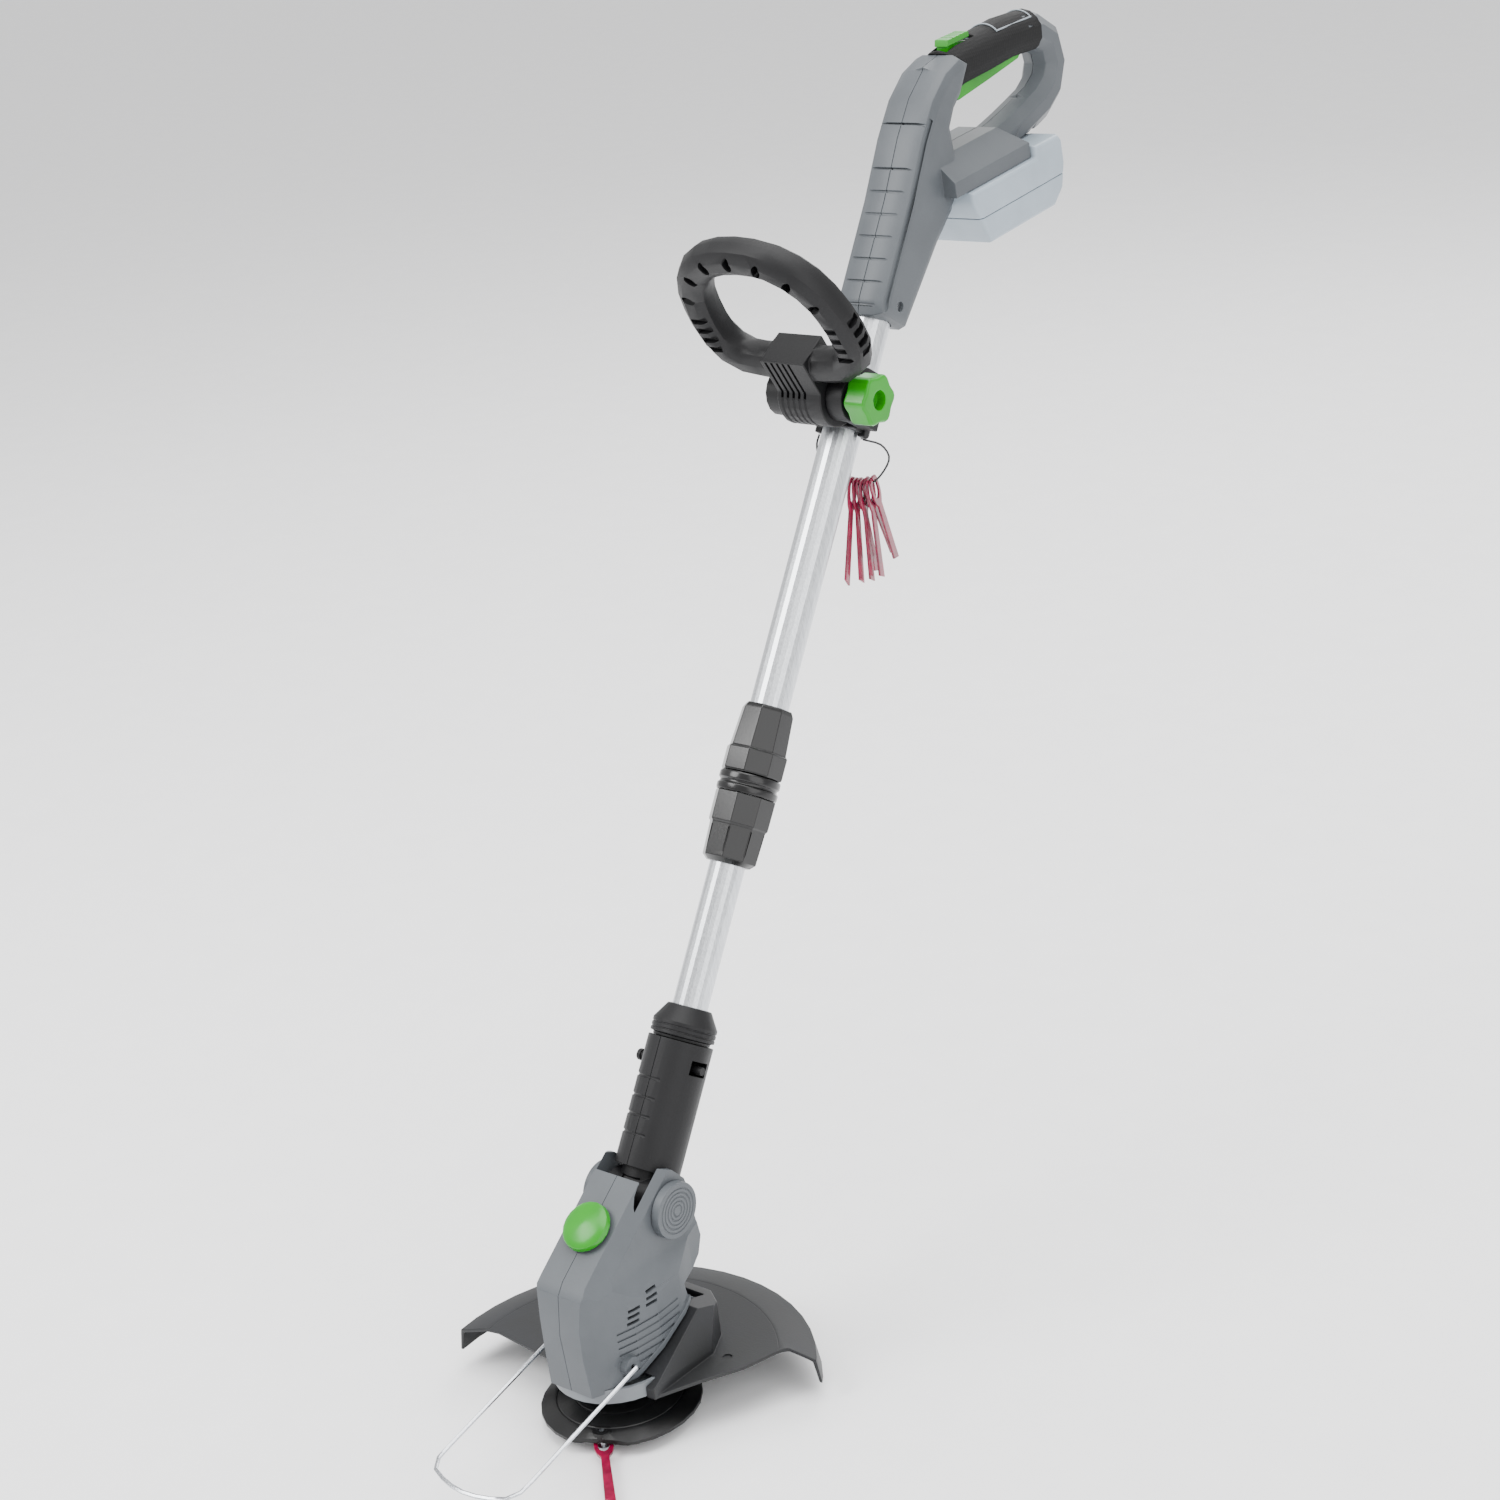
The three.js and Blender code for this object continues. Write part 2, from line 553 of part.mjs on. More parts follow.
function handleClamp() {
  const wrap = join(rod(19.4, CLAMP_FROM, CLAMP_TO, 20),
    block(-19.4, 19.4, -14, 0, CLAMP_FROM, CLAMP_TO));
  const ear = (side) => join(
    crossRod(17, Math.min(side * EAR_IN, side * EAR_OUT), Math.max(side * EAR_IN, side * EAR_OUT),
      BOLT_V, CLAMP_S, 16),
    block(Math.min(side * EAR_IN, side * EAR_OUT), Math.max(side * EAR_IN, side * EAR_OUT),
      BOLT_V, -4, CLAMP_S - 14, CLAMP_S + 17),
    block(Math.min(side * 12, side * EAR_OUT), Math.max(side * 12, side * EAR_OUT),
      -10, -4, CLAMP_S - 14, CLAMP_S + 17));
  const eyelet = (side) => block(side * 19 - 3, side * 19 + 3, -3, 3, EYELET_S, CLAMP_FROM + 4);
  return cut(join(wrap, ear(-1), ear(1), eyelet(-1), eyelet(1)),
    rod(UPPER_TUBE_R + GAP + 0.2, 500, 640, 20),
    crossRod(24.2, -EAR_IN, EAR_IN, BOLT_V, CLAMP_S, 20),
    crossRod(3.6, -60, 60, BOLT_V, CLAMP_S, 10));
}

add(shaft, 'handle_clamp', handleClamp(), plastic(BLACK));

const frontHandle = new THREE.Group();   // z runs from the bolt out along the loop
frontHandle.position.set(0, BOLT_V, CLAMP_S);
frontHandle.rotation.x = THREE.MathUtils.degToRad(65);
shaft.add(frontHandle);

function loopHandle() {
  const right = [[14, 0, 33], [32, 0, 33.5], [48, 0, 38], [LOOP_HALF, 0, 54], [LOOP_HALF + 1, 0, 78],
    [51, 0, 108], [30, 0, LOOP_REACH]];
  const left = right.map(([x, y, z]) => [-x, y, z]).reverse();
  const loop = bar([...right, [0, 0, LOOP_REACH + 6], ...left], 13, 10, 24);
  const hub = join(crossRod(21.6, -19.2, 19.2, 0, 0, 20), block(-19.2, 19.2, -14, 14, 0, 46));
  return cut(join(hub, loop), crossRod(3.6, -60, 60, 0, 0, 10));
}

add(frontHandle, 'front_handle', loopHandle(), plastic(BLACK, 0.65));

function knob() {
  const shape = new THREE.Shape();
  const points = 36;
  for (let i = 0; i < points; i++) {
    const turn = (2 * Math.PI * i) / points;
    const radius = 17.3 + 1.3 * Math.cos(6 * turn);
    if (i === 0) shape.moveTo(radius * Math.cos(turn), radius * Math.sin(turn));
    else shape.lineTo(radius * Math.cos(turn), radius * Math.sin(turn));
  }
  const body = new THREE.ExtrudeGeometry(shape, { depth: 15.4, bevelEnabled: true, bevelThickness: 1.4,
    bevelSize: 1.4, bevelOffset: -1.4, bevelSegments: 1 });
  return cut(body.translate(0, 0, 1.4), rod(6.8, 11, 30, 16), rod(3.6, -5, 30, 10))
    .rotateY(Math.PI / 2).translate(36, BOLT_V, CLAMP_S);
}

add(shaft, 'clamp_knob', knob(), plastic(GREEN, 0.4));
add(shaft, 'clamp_bolt', join(crossRod(3.3, -36, 44, BOLT_V, CLAMP_S, 12),
  crossRod(6.5, -38.6, -34, BOLT_V, CLAMP_S, 6)), metal(STEEL));

// ---------------------------------------------------------------- spare blades on their cord
const CORD_R = 0.75;
const CORD_ROUTE = [[-19, 348.8, 598.6], [-20, 346, 592], [-17.5, 345, 581], [-10, 351, 569],
  [-2, 357, 562.5], [6, 360, 560.4], [14, 362, 562], [21, 366, 569], [25, 370, 579], [24, 364, 590],
  [19, 350.2, 597.6]];
const BLADE_SPACING = 2.7;
const SWAYS = [-22, -6, 12, -1, 30, 4, 23];      // degrees that each blade hangs off plumb
const SPARE_BLADES = SWAYS.length;

add(head, 'spare_blade_cord', bar(CORD_ROUTE, CORD_R, 8, 30), plastic('#1e1e20', 0.6));

// Each spare blade hangs by its eye from the lowest stretch of the cord and sways its own way.
const cordPath = new THREE.CatmullRomCurve3(CORD_ROUTE.map((p) => new THREE.Vector3(...p)));
const MIDDLE_BLADE = (SPARE_BLADES - 1) / 2;
const CORD_MIDDLE = 0.485;       // lowest stretch, as a share of the cord's length
const heading = cordPath.getTangentAt(CORD_MIDDLE);
for (let i = 0; i < SPARE_BLADES; i++) {
  const along = CORD_MIDDLE + ((i - MIDDLE_BLADE) * BLADE_SPACING) / cordPath.getLength();
  const spot = cordPath.getPointAt(along);
  const hanging = blade(1.8).rotateX(Math.PI / 2).rotateY(Math.PI / 2).rotateZ(Math.PI / 2);
  const mesh = add(head, `spare_blade_${i + 1}`, hanging, plastic(CRIMSON, 0.35));
  mesh.position.set(spot.x, spot.y, spot.z + 0.4);
  mesh.rotation.order = 'ZYX';
  const sway = THREE.MathUtils.degToRad(SWAYS[i]);
  mesh.rotation.set(sway, 0, Math.atan2(heading.y, heading.x));
}

// ---------------------------------------------------------------- rear housing
const NECK_SIDE = [[-17, 637], [-20.5, 648], [-21.3, 720], [-25, 765], [-24, 795], [-17, 819],
  [-5, 836], [9, 837], [10, 812], [7, 800], [8, 787], [20, 774], [36, 762], [36, 738], [28, 706],
  [20, 656], [17, 638]];
const NECK_EDGE = 9;
const WALL = 3;
const GRIP_ROUTE = [[0, 486, 819.5], [0, 510, 826.5], [0, 550, 831.5], [0, 590, 836.5], [0, 612, 836]];
const BOW_ROUTE = [[0, 596, 837], [0, 613, 836], [0, 629, 828], [0, 635, 812], [0, 632, 798],
  [0, 618, 785], [0, 592, 775], [0, 560, 765], [0, 520, 756], [0, 490, 752]];
const COVER_FROM_Y = 501;
const COVER_TO_Y = 611;
const TRIGGER_PIN_Y = 590;
const TRIGGER_PIN_Z = 828.6;

function neck(inset) {
  return inHead(softSlab(NECK_SIDE, NECK_HALF, NECK_EDGE - inset, inset), shaft);
}

function bow(inset) {
  return bar(BOW_ROUTE, 16.2 - inset, 10, 12, 15 - inset);
}

function gripCore(inset) {
  return bar(GRIP_ROUTE, 14.4 - inset, 10, 4, 13.8 - inset);
}

const BLOCK_SECTION = [[-33, 0], [33, 0], [33, 11], [17, 27], [-17, 27], [-33, 11]];
const BLOCK_SIDE = [[-34, 0], [62, 0], [62, 11], [46, 27], [-34, 27]];

function batteryBlock(inset) {
  return inHead(common(frontPrism(drawnIn(BLOCK_SECTION, inset), -40, 90),
    sidePrism(drawnIn(BLOCK_SIDE, inset), -60, 60)), blockGroup);
}

// The battery slides on a T-shaped rail from the rear.
function railSpace() {
  return inHead(join(block(-20.4, 20.4, -24, 90, -20, 4), block(-24.4, 24.4, -24, 90, 2.8, 8.2),
    block(-60, 60, -20.6, 160, -60, 0), block(-60, 60, 62.2, 160, -60, 8.8)), blockGroup);
}

function rearHousing(side) {
  const outer = join(neck(0), bow(0), gripCore(0), batteryBlock(0));
  const room = join(common(neck(WALL), inHead(block(-60, 60, -60, 60, 726, 900), shaft)),
    bow(WALL), common(gripCore(WALL), block(-60, 60, 497, 700, 700, 900)), batteryBlock(WALL));
  const tubeBore = inHead(rod(UPPER_TUBE_R + GAP + 0.2, 600, 722.4, 20), shaft);
  const leadWay = inHead(rod(6, 700, 760, 12), shaft);
  const floor = inHead(block(-28, 28, -27.4, 66, -10, 8.8), blockGroup);
  const kept = cut(room, floor);
  const trigger = block(-8.6, 8.6, 506, 596, 790, 834);
  const lockSlot = block(-6.4, 6.4, 506, 536, 826, 870);
  const tubeScrew = inHead(join(crossRod(3.6, 16, 40, 0, TUBE_SCREW_S, 12),
    crossRod(1.9, -17, 20, 0, TUBE_SCREW_S, 8)), shaft);
  const neckScrew = inHead(join(crossRod(3.6, -40, -16, NECK_SCREW_V, NECK_SCREW_S, 12),
    crossRod(1.9, -20, 17, NECK_SCREW_V, NECK_SCREW_S, 8)), shaft);
  const neckBoss = inHead(crossRod(5.4, -20, 20, NECK_SCREW_V, NECK_SCREW_S, 12), shaft);
  const pinHole = crossRod(1.8, -9.8, 9.8, TRIGGER_PIN_Y, TRIGGER_PIN_Z, 8);
  const shell = cut(join(cut(outer, kept), neckBoss), tubeBore, leadWay, trigger, lockSlot,
    tubeScrew, neckScrew, pinHole, railSpace());
  return half(shell, side);
}

add(head, 'rear_housing_left', rearHousing(-1), plastic(GREY));
add(head, 'rear_housing_right', rearHousing(1), plastic(GREY));

function gripCover() {
  const outer = bar(GRIP_ROUTE, 17, 14, 4, 16.6);
  const inner = bar(GRIP_ROUTE, 14.4 + GAP, 10, 4, 13.8 + GAP);
  const span = block(-40, 40, COVER_FROM_Y, COVER_TO_Y, 780, 880);
  const throat = block(-9.4, 9.4, 480, 620, 790, 832);
  return cut(common(outer, span), inner, throat, block(-6.8, 6.8, 503.5, 538.5, 830, 870),
    join(neck(-GAP), bow(-GAP)));
}

add(head, 'grip_cover', gripCover(), plastic('#3a3a3c', 0.8));

const TRIGGER_SIDE = [[509, 806], [512, 803.6], [552, 811.5], [590, 819.6], [594.4, 823],
  [594.4, 830], [589, 832.4], [582, 828], [540, 822.4], [510, 820]];
add(head, 'trigger', cut(sidePrism(TRIGGER_SIDE, -8, 8),
  crossRod(1.8, -20, 20, TRIGGER_PIN_Y, TRIGGER_PIN_Z, 8)), plastic(GREEN, 0.4));
add(head, 'trigger_pin', crossRod(1.5, -9.4, 9.4, TRIGGER_PIN_Y, TRIGGER_PIN_Z, 8), metal(STEEL));
add(head, 'trigger_switch', join(block(-6, 6, 545, 572, 829.6, 839),
  block(-2, 2, 550, 556, 827.4, 830)), plastic('#26272a', 0.5));
add(head, 'trigger_spring', coilSpring(2.2, 0.4, 5, 4).translate(0, 522, 823), metal(STEEL));

add(head, 'lock_off_button', join(
  sidePrism([[506.8, 842.6], [534, 845.6], [533.2, 849.6], [507.8, 847.4]], -6, 6),
  block(-5, 5, 508, 531, 830, 843.5)), plastic(GREEN, 0.4));

add(shaft, 'housing_screw_tube', crossScrew(1, 16.4, 32, 0, TUBE_SCREW_S), metal(STEEL));
add(shaft, 'housing_screw_neck', crossScrew(-1, 16.4, 31, NECK_SCREW_V, NECK_SCREW_S),
  metal(STEEL));
add(shaft, 'control_board', block(-13, 13, -12.6, -11, 762, 800), plastic('#2f6b3c', 0.5));
add(shaft, 'coiled_lead', rod(6.4, 478, 636, 12), plastic('#232325', 0.6));

// ---------------------------------------------------------------- battery
const BATTERY_SIDE = [[-20, -0.4], [-20, -10], [-4, -43], [80, -43], [93, -33], [99, -15], [99, 2],
  [95, 7.4], [63, 8.2], [62.5, -0.4]];
const BATTERY_HALF = 37;

function batteryCase(lower) {
  const hull = softSlab(BATTERY_SIDE, BATTERY_HALF, 4, 0);
  const room = softSlab(BATTERY_SIDE, BATTERY_HALF, 2, 2.4);
  const split = lower ? block(-60, 60, -80, 140, -60, -22.15) : block(-60, 60, -80, 140, -21.85, 40);
  const shell = common(cut(hull, room), split);
  if (lower) return shell;
  const shoe = join(block(-20, 20, -20, 61, -2.4, 4), block(-24, 24, -20, 61, 3.2, 7.8));
  const slots = [-8, 8].map((x) => block(x - 1, x + 1, -30, -8, -0.6, 6));
  return cut(join(shell, shoe), ...slots, block(-11, 11, 82, 120, 0.6, 12));
}

add(blockGroup, 'battery_case_lower', batteryCase(true), plastic(PALE, 0.5));
add(blockGroup, 'battery_case_upper', batteryCase(false), plastic(PALE, 0.5));
add(blockGroup, 'battery_latch', block(-10.6, 10.6, 82.4, 95.4, 1, 7), plastic('#9aa3aa', 0.5));

const CELLS = 5;
const CELL_PITCH = 18.2;
const FIRST_CELL_Y = 4;

// Five cells side by side in one holder.
function cellPack() {
  const cells = [];
  for (let i = 0; i < CELLS; i++) {
    cells.push(crossRod(8.9, -32.6, 32.6, FIRST_CELL_Y + CELL_PITCH * i, -28, 10));
  }
  const lastY = FIRST_CELL_Y + CELL_PITCH * (CELLS - 1);
  return join(block(-30, 30, FIRST_CELL_Y, lastY, -31, -25), ...cells);
}

add(blockGroup, 'battery_cells', cellPack(), plastic('#4b7aa8', 0.5));

trimmer.updateMatrixWorld(true);
export default trimmer;
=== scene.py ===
import json
import math

import bpy
from bpy.props import FloatProperty, PointerProperty, StringProperty
from mathutils import Matrix, Vector


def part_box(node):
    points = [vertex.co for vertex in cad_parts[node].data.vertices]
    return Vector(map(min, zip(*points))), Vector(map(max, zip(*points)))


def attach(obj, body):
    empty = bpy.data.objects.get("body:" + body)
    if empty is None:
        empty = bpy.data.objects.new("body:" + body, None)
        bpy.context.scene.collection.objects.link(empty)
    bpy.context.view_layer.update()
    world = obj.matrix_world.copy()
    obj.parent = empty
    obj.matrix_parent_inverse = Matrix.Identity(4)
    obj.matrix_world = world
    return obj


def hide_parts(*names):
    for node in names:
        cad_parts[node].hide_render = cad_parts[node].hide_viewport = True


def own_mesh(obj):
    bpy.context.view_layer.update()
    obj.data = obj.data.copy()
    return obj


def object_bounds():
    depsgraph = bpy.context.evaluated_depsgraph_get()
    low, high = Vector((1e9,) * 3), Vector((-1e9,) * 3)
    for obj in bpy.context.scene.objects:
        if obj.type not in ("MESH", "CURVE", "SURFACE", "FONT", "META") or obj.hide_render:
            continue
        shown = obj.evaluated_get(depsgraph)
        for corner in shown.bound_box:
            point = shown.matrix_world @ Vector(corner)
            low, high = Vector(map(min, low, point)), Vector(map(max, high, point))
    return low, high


bl_info = {
    "name": "String Trimmer",
    "version": (1, 0, 0),
    "blender": (4, 5, 0),
    "location": "3D View > Sidebar > Trimmer",
    "description": "Dresses a cordless string trimmer with detailed pieces and materials",
    "category": "Object",
}

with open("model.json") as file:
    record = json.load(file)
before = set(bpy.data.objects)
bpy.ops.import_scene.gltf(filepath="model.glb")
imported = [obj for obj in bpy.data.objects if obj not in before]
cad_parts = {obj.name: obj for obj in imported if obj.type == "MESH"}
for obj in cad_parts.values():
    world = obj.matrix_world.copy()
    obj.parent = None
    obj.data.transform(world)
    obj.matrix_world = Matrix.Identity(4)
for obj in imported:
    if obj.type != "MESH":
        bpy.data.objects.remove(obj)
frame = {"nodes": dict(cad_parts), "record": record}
cad_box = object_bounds()
record = frame["record"]
MM = 0.001
BODY_OF = {
    node: body for body, nodes in record["behaviour"]["bodies"].items() for node in nodes
}
SLOT_OF = {part["node"]: part["material_slot"] for part in record["subparts"]}
JOINTS = {joint["name"]: joint for joint in record["behaviour"]["joints"]}

# The shaft's own frame: its z runs up the tubes from the tilt pivot, and -y is in front of them.
PIVOT = Vector(JOINTS["head_tilt"]["pos_m"])
SHAFT_AXIS = Vector(JOINTS["edging_turn"]["axis"])
LEAN = math.atan2(SHAFT_AXIS.y, SHAFT_AXIS.z)
SHAFT = Matrix.Translation(PIVOT) @ Matrix.Rotation(-LEAN, 4, "X")

# The front loop's own frame: its z runs from the clamp bolt out through the loop.
BOLT = Vector(JOINTS["loop_angle"]["pos_m"])
LOOP_FROM_SHAFT = math.radians(65)
LOOP_TILT = LOOP_FROM_SHAFT - LEAN
LOOP = Matrix.Translation(BOLT) @ Matrix.Rotation(LOOP_TILT, 4, "X")

# The battery's own frame: its y runs along the rail, and z = 0 is the top of its case.
RAIL = Vector(JOINTS["battery_slide"]["axis"])
BATTERY_AT = (0, 0.5, 0.756)
BATTERY = Matrix.Translation(BATTERY_AT) @ Matrix.Rotation(
    math.atan2(RAIL.z, RAIL.y), 4, "X"
)
ACROSS = Matrix.Rotation(math.pi / 2, 4, "Y")
LEVEL = Matrix()

# Section radii of the round grooves that are cut, in millimetres.
HAIRLINE, THIN, DEEP, BROAD = 0.6, 0.7, 0.9, 1.2
SLAB_EDGE = 0.5          # millimetres, on the box-shaped grooves' own edges

# Edge radii, from the crispest fittings to the softest mouldings.
CRISP, FINE, SMALL, MEDIUM, WIDE, SOFT = (mm * MM for mm in (0.25, 0.4, 0.5, 0.6, 0.8, 0.9))


# ------------------------------------------------------------------ settings
def colour_setting(name, description, default):
    return StringProperty(name=name, description=description, default=default)


class TrimmerColours(bpy.types.PropertyGroup):
    housing: colour_setting("Housing", "Grey of the motor and rear housings", "#4E5256")
    black: colour_setting("Black parts", "Black of sleeve, clamps and loop", "#0D0D0F")
    guard: colour_setting("Guard", "Dark grey of the debris guard", "#1D1E20")
    green: colour_setting("Controls", "Green of knob, trigger and buttons", "#148200")
    blade: colour_setting("Blades", "Crimson of the plastic blades", "#7C0230")
    battery: colour_setting("Battery", "Pale grey of the battery case", "#9AA6B0")


class TrimmerSizes(bpy.types.PropertyGroup):
    cord_diameter: FloatProperty(
        name="Cord diameter", description="Thickness of the spare blades' cord",
        default=1.5 * MM, unit="LENGTH",
    )
    edge_scale: FloatProperty(
        name="Edge rounding", description="Multiplies every piece's own edge radius",
        default=1.0, min=0.0,
    )


# ------------------------------------------------------------------ materials
# The sRGB curve: its straight part's end and slope, then its offset and power.
TOE_END, TOE_SLOPE, CURVE_OFFSET, CURVE_POWER = 0.04045, 12.92, 0.055, 2.4
FULL = 255


def channels_of(hex_colour):
    """The three channels of a colour written as #RRGGBB, from 0 to FULL."""
    digits = hex_colour.lstrip("#")
    return [int(digits[i:i + 2], 16) for i in range(0, len(digits), 2)]


def linear(hex_colour):
    """An sRGB hex colour as linear RGBA."""
    shares = [c / FULL for c in channels_of(hex_colour)]
    flat = [
        c / TOE_SLOPE if c <= TOE_END
        else ((c + CURVE_OFFSET) / (1 + CURVE_OFFSET)) ** CURVE_POWER
        for c in shares
    ]
    return (*flat, 1)


def shaded(hex_colour, amount):
    """The same hex colour, lighter or darker by a factor."""
    scaled = [max(0, min(FULL, round(c * amount))) for c in channels_of(hex_colour)]
    return "#" + "".join(f"{c:02X}" for c in scaled)


def add_node(tree, kind, settings=(), links=()):
    """Adds a node, sets its sockets or properties, and links (socket, source) pairs to it."""
    node = tree.nodes.new(kind)
    for key, value in dict(settings).items():
        if key in node.inputs:
            node.inputs[key].default_value = value
        else:
            setattr(node, key, value)
    for key, source in dict(links).items():
        tree.links.new(source, node.inputs[key])
    return node


def new_material(name):
    """A node material with no shader yet, its node tree, and its object coordinates."""
    material = bpy.data.materials.new(name)
    material.use_nodes = True
    tree = material.node_tree
    tree.nodes.clear()
    place = add_node(tree, "ShaderNodeTexCoord").outputs["Object"]
    return material, tree, place


def close_material(tree, settings, links):
    """Ends a material with a shader, its constants set on its own sockets, and the output."""
    shader = add_node(tree, "ShaderNodeBsdfPrincipled", settings, links)
    output = add_node(tree, "ShaderNodeOutputMaterial")
    tree.links.new(shader.outputs["BSDF"], output.inputs["Surface"])


def per_metre(size_mm):
    """The scale that makes a pattern's features that many millimetres across."""
    return 1 / (size_mm * MM)


def two_tones(tree, pattern, dark, light, low=0.35, high=0.65):
    """A ramp between two hex colours."""
    ramp = add_node(tree, "ShaderNodeValToRGB", links={"Fac": pattern})
    ramp.color_ramp.elements[0].position = low
    ramp.color_ramp.elements[0].color = linear(dark)
    ramp.color_ramp.elements[1].position = high
    ramp.color_ramp.elements[1].color = linear(light)
    return ramp.outputs["Color"]


# Moulded plastic: its flow marks' width in millimetres, how far they move the roughness, its
# grain's height in millimetres, and the shader's constants.
FLOW_WIDTH = 45
GLOSSIER, DULLER = 0.06, 0.08
GRAIN_HEIGHT = 0.3
PLASTIC_IOR = 1.5
COAT_ROUGHNESS = 0.2


def moulded(name, colour, roughness, grain_mm=1.2, depth=0.12, cloud=0.06, coat=0.0,
            specular=0.35):
    """Injection-moulded plastic: a spark-eroded grain breaks up the gloss, over faint flow."""
    material, tree, place = new_material(name)
    flow = add_node(tree, "ShaderNodeTexNoise",
                    {"Scale": per_metre(FLOW_WIDTH), "Detail": 3.0, "Roughness": 0.6},
                    {"Vector": place})
    grain = add_node(tree, "ShaderNodeTexNoise",
                     {"Scale": per_metre(grain_mm), "Detail": 2.0}, {"Vector": place})
    tone = two_tones(tree, flow.outputs["Fac"], shaded(colour, 1 - cloud),
                     shaded(colour, 1 + cloud))
    gloss = add_node(tree, "ShaderNodeMapRange",
                     {"To Min": roughness - GLOSSIER, "To Max": roughness + DULLER},
                     {"Value": flow.outputs["Fac"]})
    relief = add_node(tree, "ShaderNodeBump",
                      {"Strength": depth, "Distance": GRAIN_HEIGHT * MM},
                      {"Height": grain.outputs["Fac"]})
    close_material(tree, {"IOR": PLASTIC_IOR, "Coat Weight": coat,
                          "Coat Roughness": COAT_ROUGHNESS, "Specular IOR Level": specular},
                   {"Base Color": tone, "Roughness": gloss.outputs["Result"],
                    "Normal": relief.outputs["Normal"]})
    return material


DIE_LINE_WIDTH = 0.9     # millimetres across each line
DIE_LINE_STRETCH = 0.012  # how little the lines change along the tube


def drawn_aluminium():
    """Anodised drawn tube: satin, with fine die lines that run along it."""
    material, tree, place = new_material("anodised_drawn_aluminium")
    along = add_node(tree, "ShaderNodeMapping",
                     {"Rotation": (LEAN, 0, 0), "Scale": (1, 1, DIE_LINE_STRETCH)},
                     {"Vector": place})
    lines = add_node(tree, "ShaderNodeTexNoise",
                     {"Scale": per_metre(DIE_LINE_WIDTH), "Detail": 3.0},
                     {"Vector": along.outputs["Vector"]})
    tone = two_tones(tree, lines.outputs["Fac"], "#C0C3C7", "#DADDE0")
    gloss = add_node(tree, "ShaderNodeMapRange", {"To Min": 0.24, "To Max": 0.4},
                     {"Value": lines.outputs["Fac"]})
    relief = add_node(tree, "ShaderNodeBump", {"Strength": 0.08, "Distance": 0.1 * MM},
                      {"Height": lines.outputs["Fac"]})
    close_material(tree, {"Metallic": 1.0, "Anisotropic": 0.3},
                   {"Base Color": tone, "Roughness": gloss.outputs["Result"],
                    "Normal": relief.outputs["Normal"]})
    return material


SPANGLE_WIDTH = 0.8
SPANGLE_CONTRAST = 0.1
SPANGLE_DULLER = 0.12


def plated_steel(name, colour, roughness):
    """Zinc-plated steel: bright, with a faint crystalline mottle."""
    material, tree, place = new_material(name)
    spangle = add_node(tree, "ShaderNodeTexVoronoi", {"Scale": per_metre(SPANGLE_WIDTH)},
                       {"Vector": place})
    tone = two_tones(tree, spangle.outputs["Distance"],
                     shaded(colour, 1 - SPANGLE_CONTRAST),
                     shaded(colour, 1 + SPANGLE_CONTRAST))
    gloss = add_node(tree, "ShaderNodeMapRange",
                     {"To Min": roughness, "To Max": roughness + SPANGLE_DULLER},
                     {"Value": spangle.outputs["Distance"]})
    close_material(tree, {"Metallic": 1.0},
                   {"Base Color": tone, "Roughness": gloss.outputs["Result"]})
    return material


BLADE_FLOW_WIDTH = 9
BLADE_CONTRAST = 0.14


def blade_nylon(colour):
    """Injection-moulded clear nylon: glossy, and light passes into its thin edges."""
    material, tree, place = new_material("blade_nylon")
    flow = add_node(tree, "ShaderNodeTexNoise",
                    {"Scale": per_metre(BLADE_FLOW_WIDTH), "Detail": 2.0},
                    {"Vector": place})
    tone = two_tones(tree, flow.outputs["Fac"],
                     shaded(colour, 1 - BLADE_CONTRAST), shaded(colour, 1 + BLADE_CONTRAST))
    relief = add_node(tree, "ShaderNodeBump", {"Strength": 0.1, "Distance": 0.2 * MM},
                      {"Height": flow.outputs["Fac"]})
    close_material(tree, {"IOR": 1.53, "Roughness": 0.22, "Subsurface Weight": 0.25,
                          "Subsurface Radius": (0.004, 0.001, 0.001), "Coat Weight": 0.3},
                   {"Base Color": tone, "Normal": relief.outputs["Normal"]})
    return material


DOT_WIDTH = 2.2


def soft_grip():
    """Overmoulded thermoplastic rubber: matt, with a pattern of small raised dots."""
    material, tree, place = new_material("soft_touch_rubber")
    dots = add_node(tree, "ShaderNodeTexVoronoi",
                    {"Scale": per_metre(DOT_WIDTH), "Randomness": 0.15}, {"Vector": place})
    tone = two_tones(tree, dots.outputs["Distance"], "#121213", "#0B0B0C", low=0.2, high=0.6)
    relief = add_node(tree, "ShaderNodeBump",
                      {"Strength": 0.5, "Distance": 0.5 * MM, "invert": True},
                      {"Height": dots.outputs["Distance"]})
    close_material(tree, {"IOR": 1.52, "Roughness": 0.78, "Specular IOR Level": 0.3},
                   {"Base Color": tone, "Normal": relief.outputs["Normal"]})
    return material


STRAND_WIDTH = 14


def cord_sheath():
    """Twisted polymer cord: dull black with the strands' fine slanted ridges."""
    material, tree, place = new_material("twisted_cord")
    strands = add_node(tree, "ShaderNodeTexWave",
                       {"wave_type": "BANDS", "bands_direction": "DIAGONAL",
                        "Scale": per_metre(STRAND_WIDTH), "Distortion": 1.0}, {"Vector": place})
    tone = two_tones(tree, strands.outputs["Fac"], "#141416", "#2A2A2D")
    relief = add_node(tree, "ShaderNodeBump", {"Strength": 0.4, "Distance": 0.2 * MM},
                      {"Height": strands.outputs["Fac"]})
    close_material(tree, {"Roughness": 0.6}, {"Base Color": tone,
                                              "Normal": relief.outputs["Normal"]})
    return material


FINISHES = {}


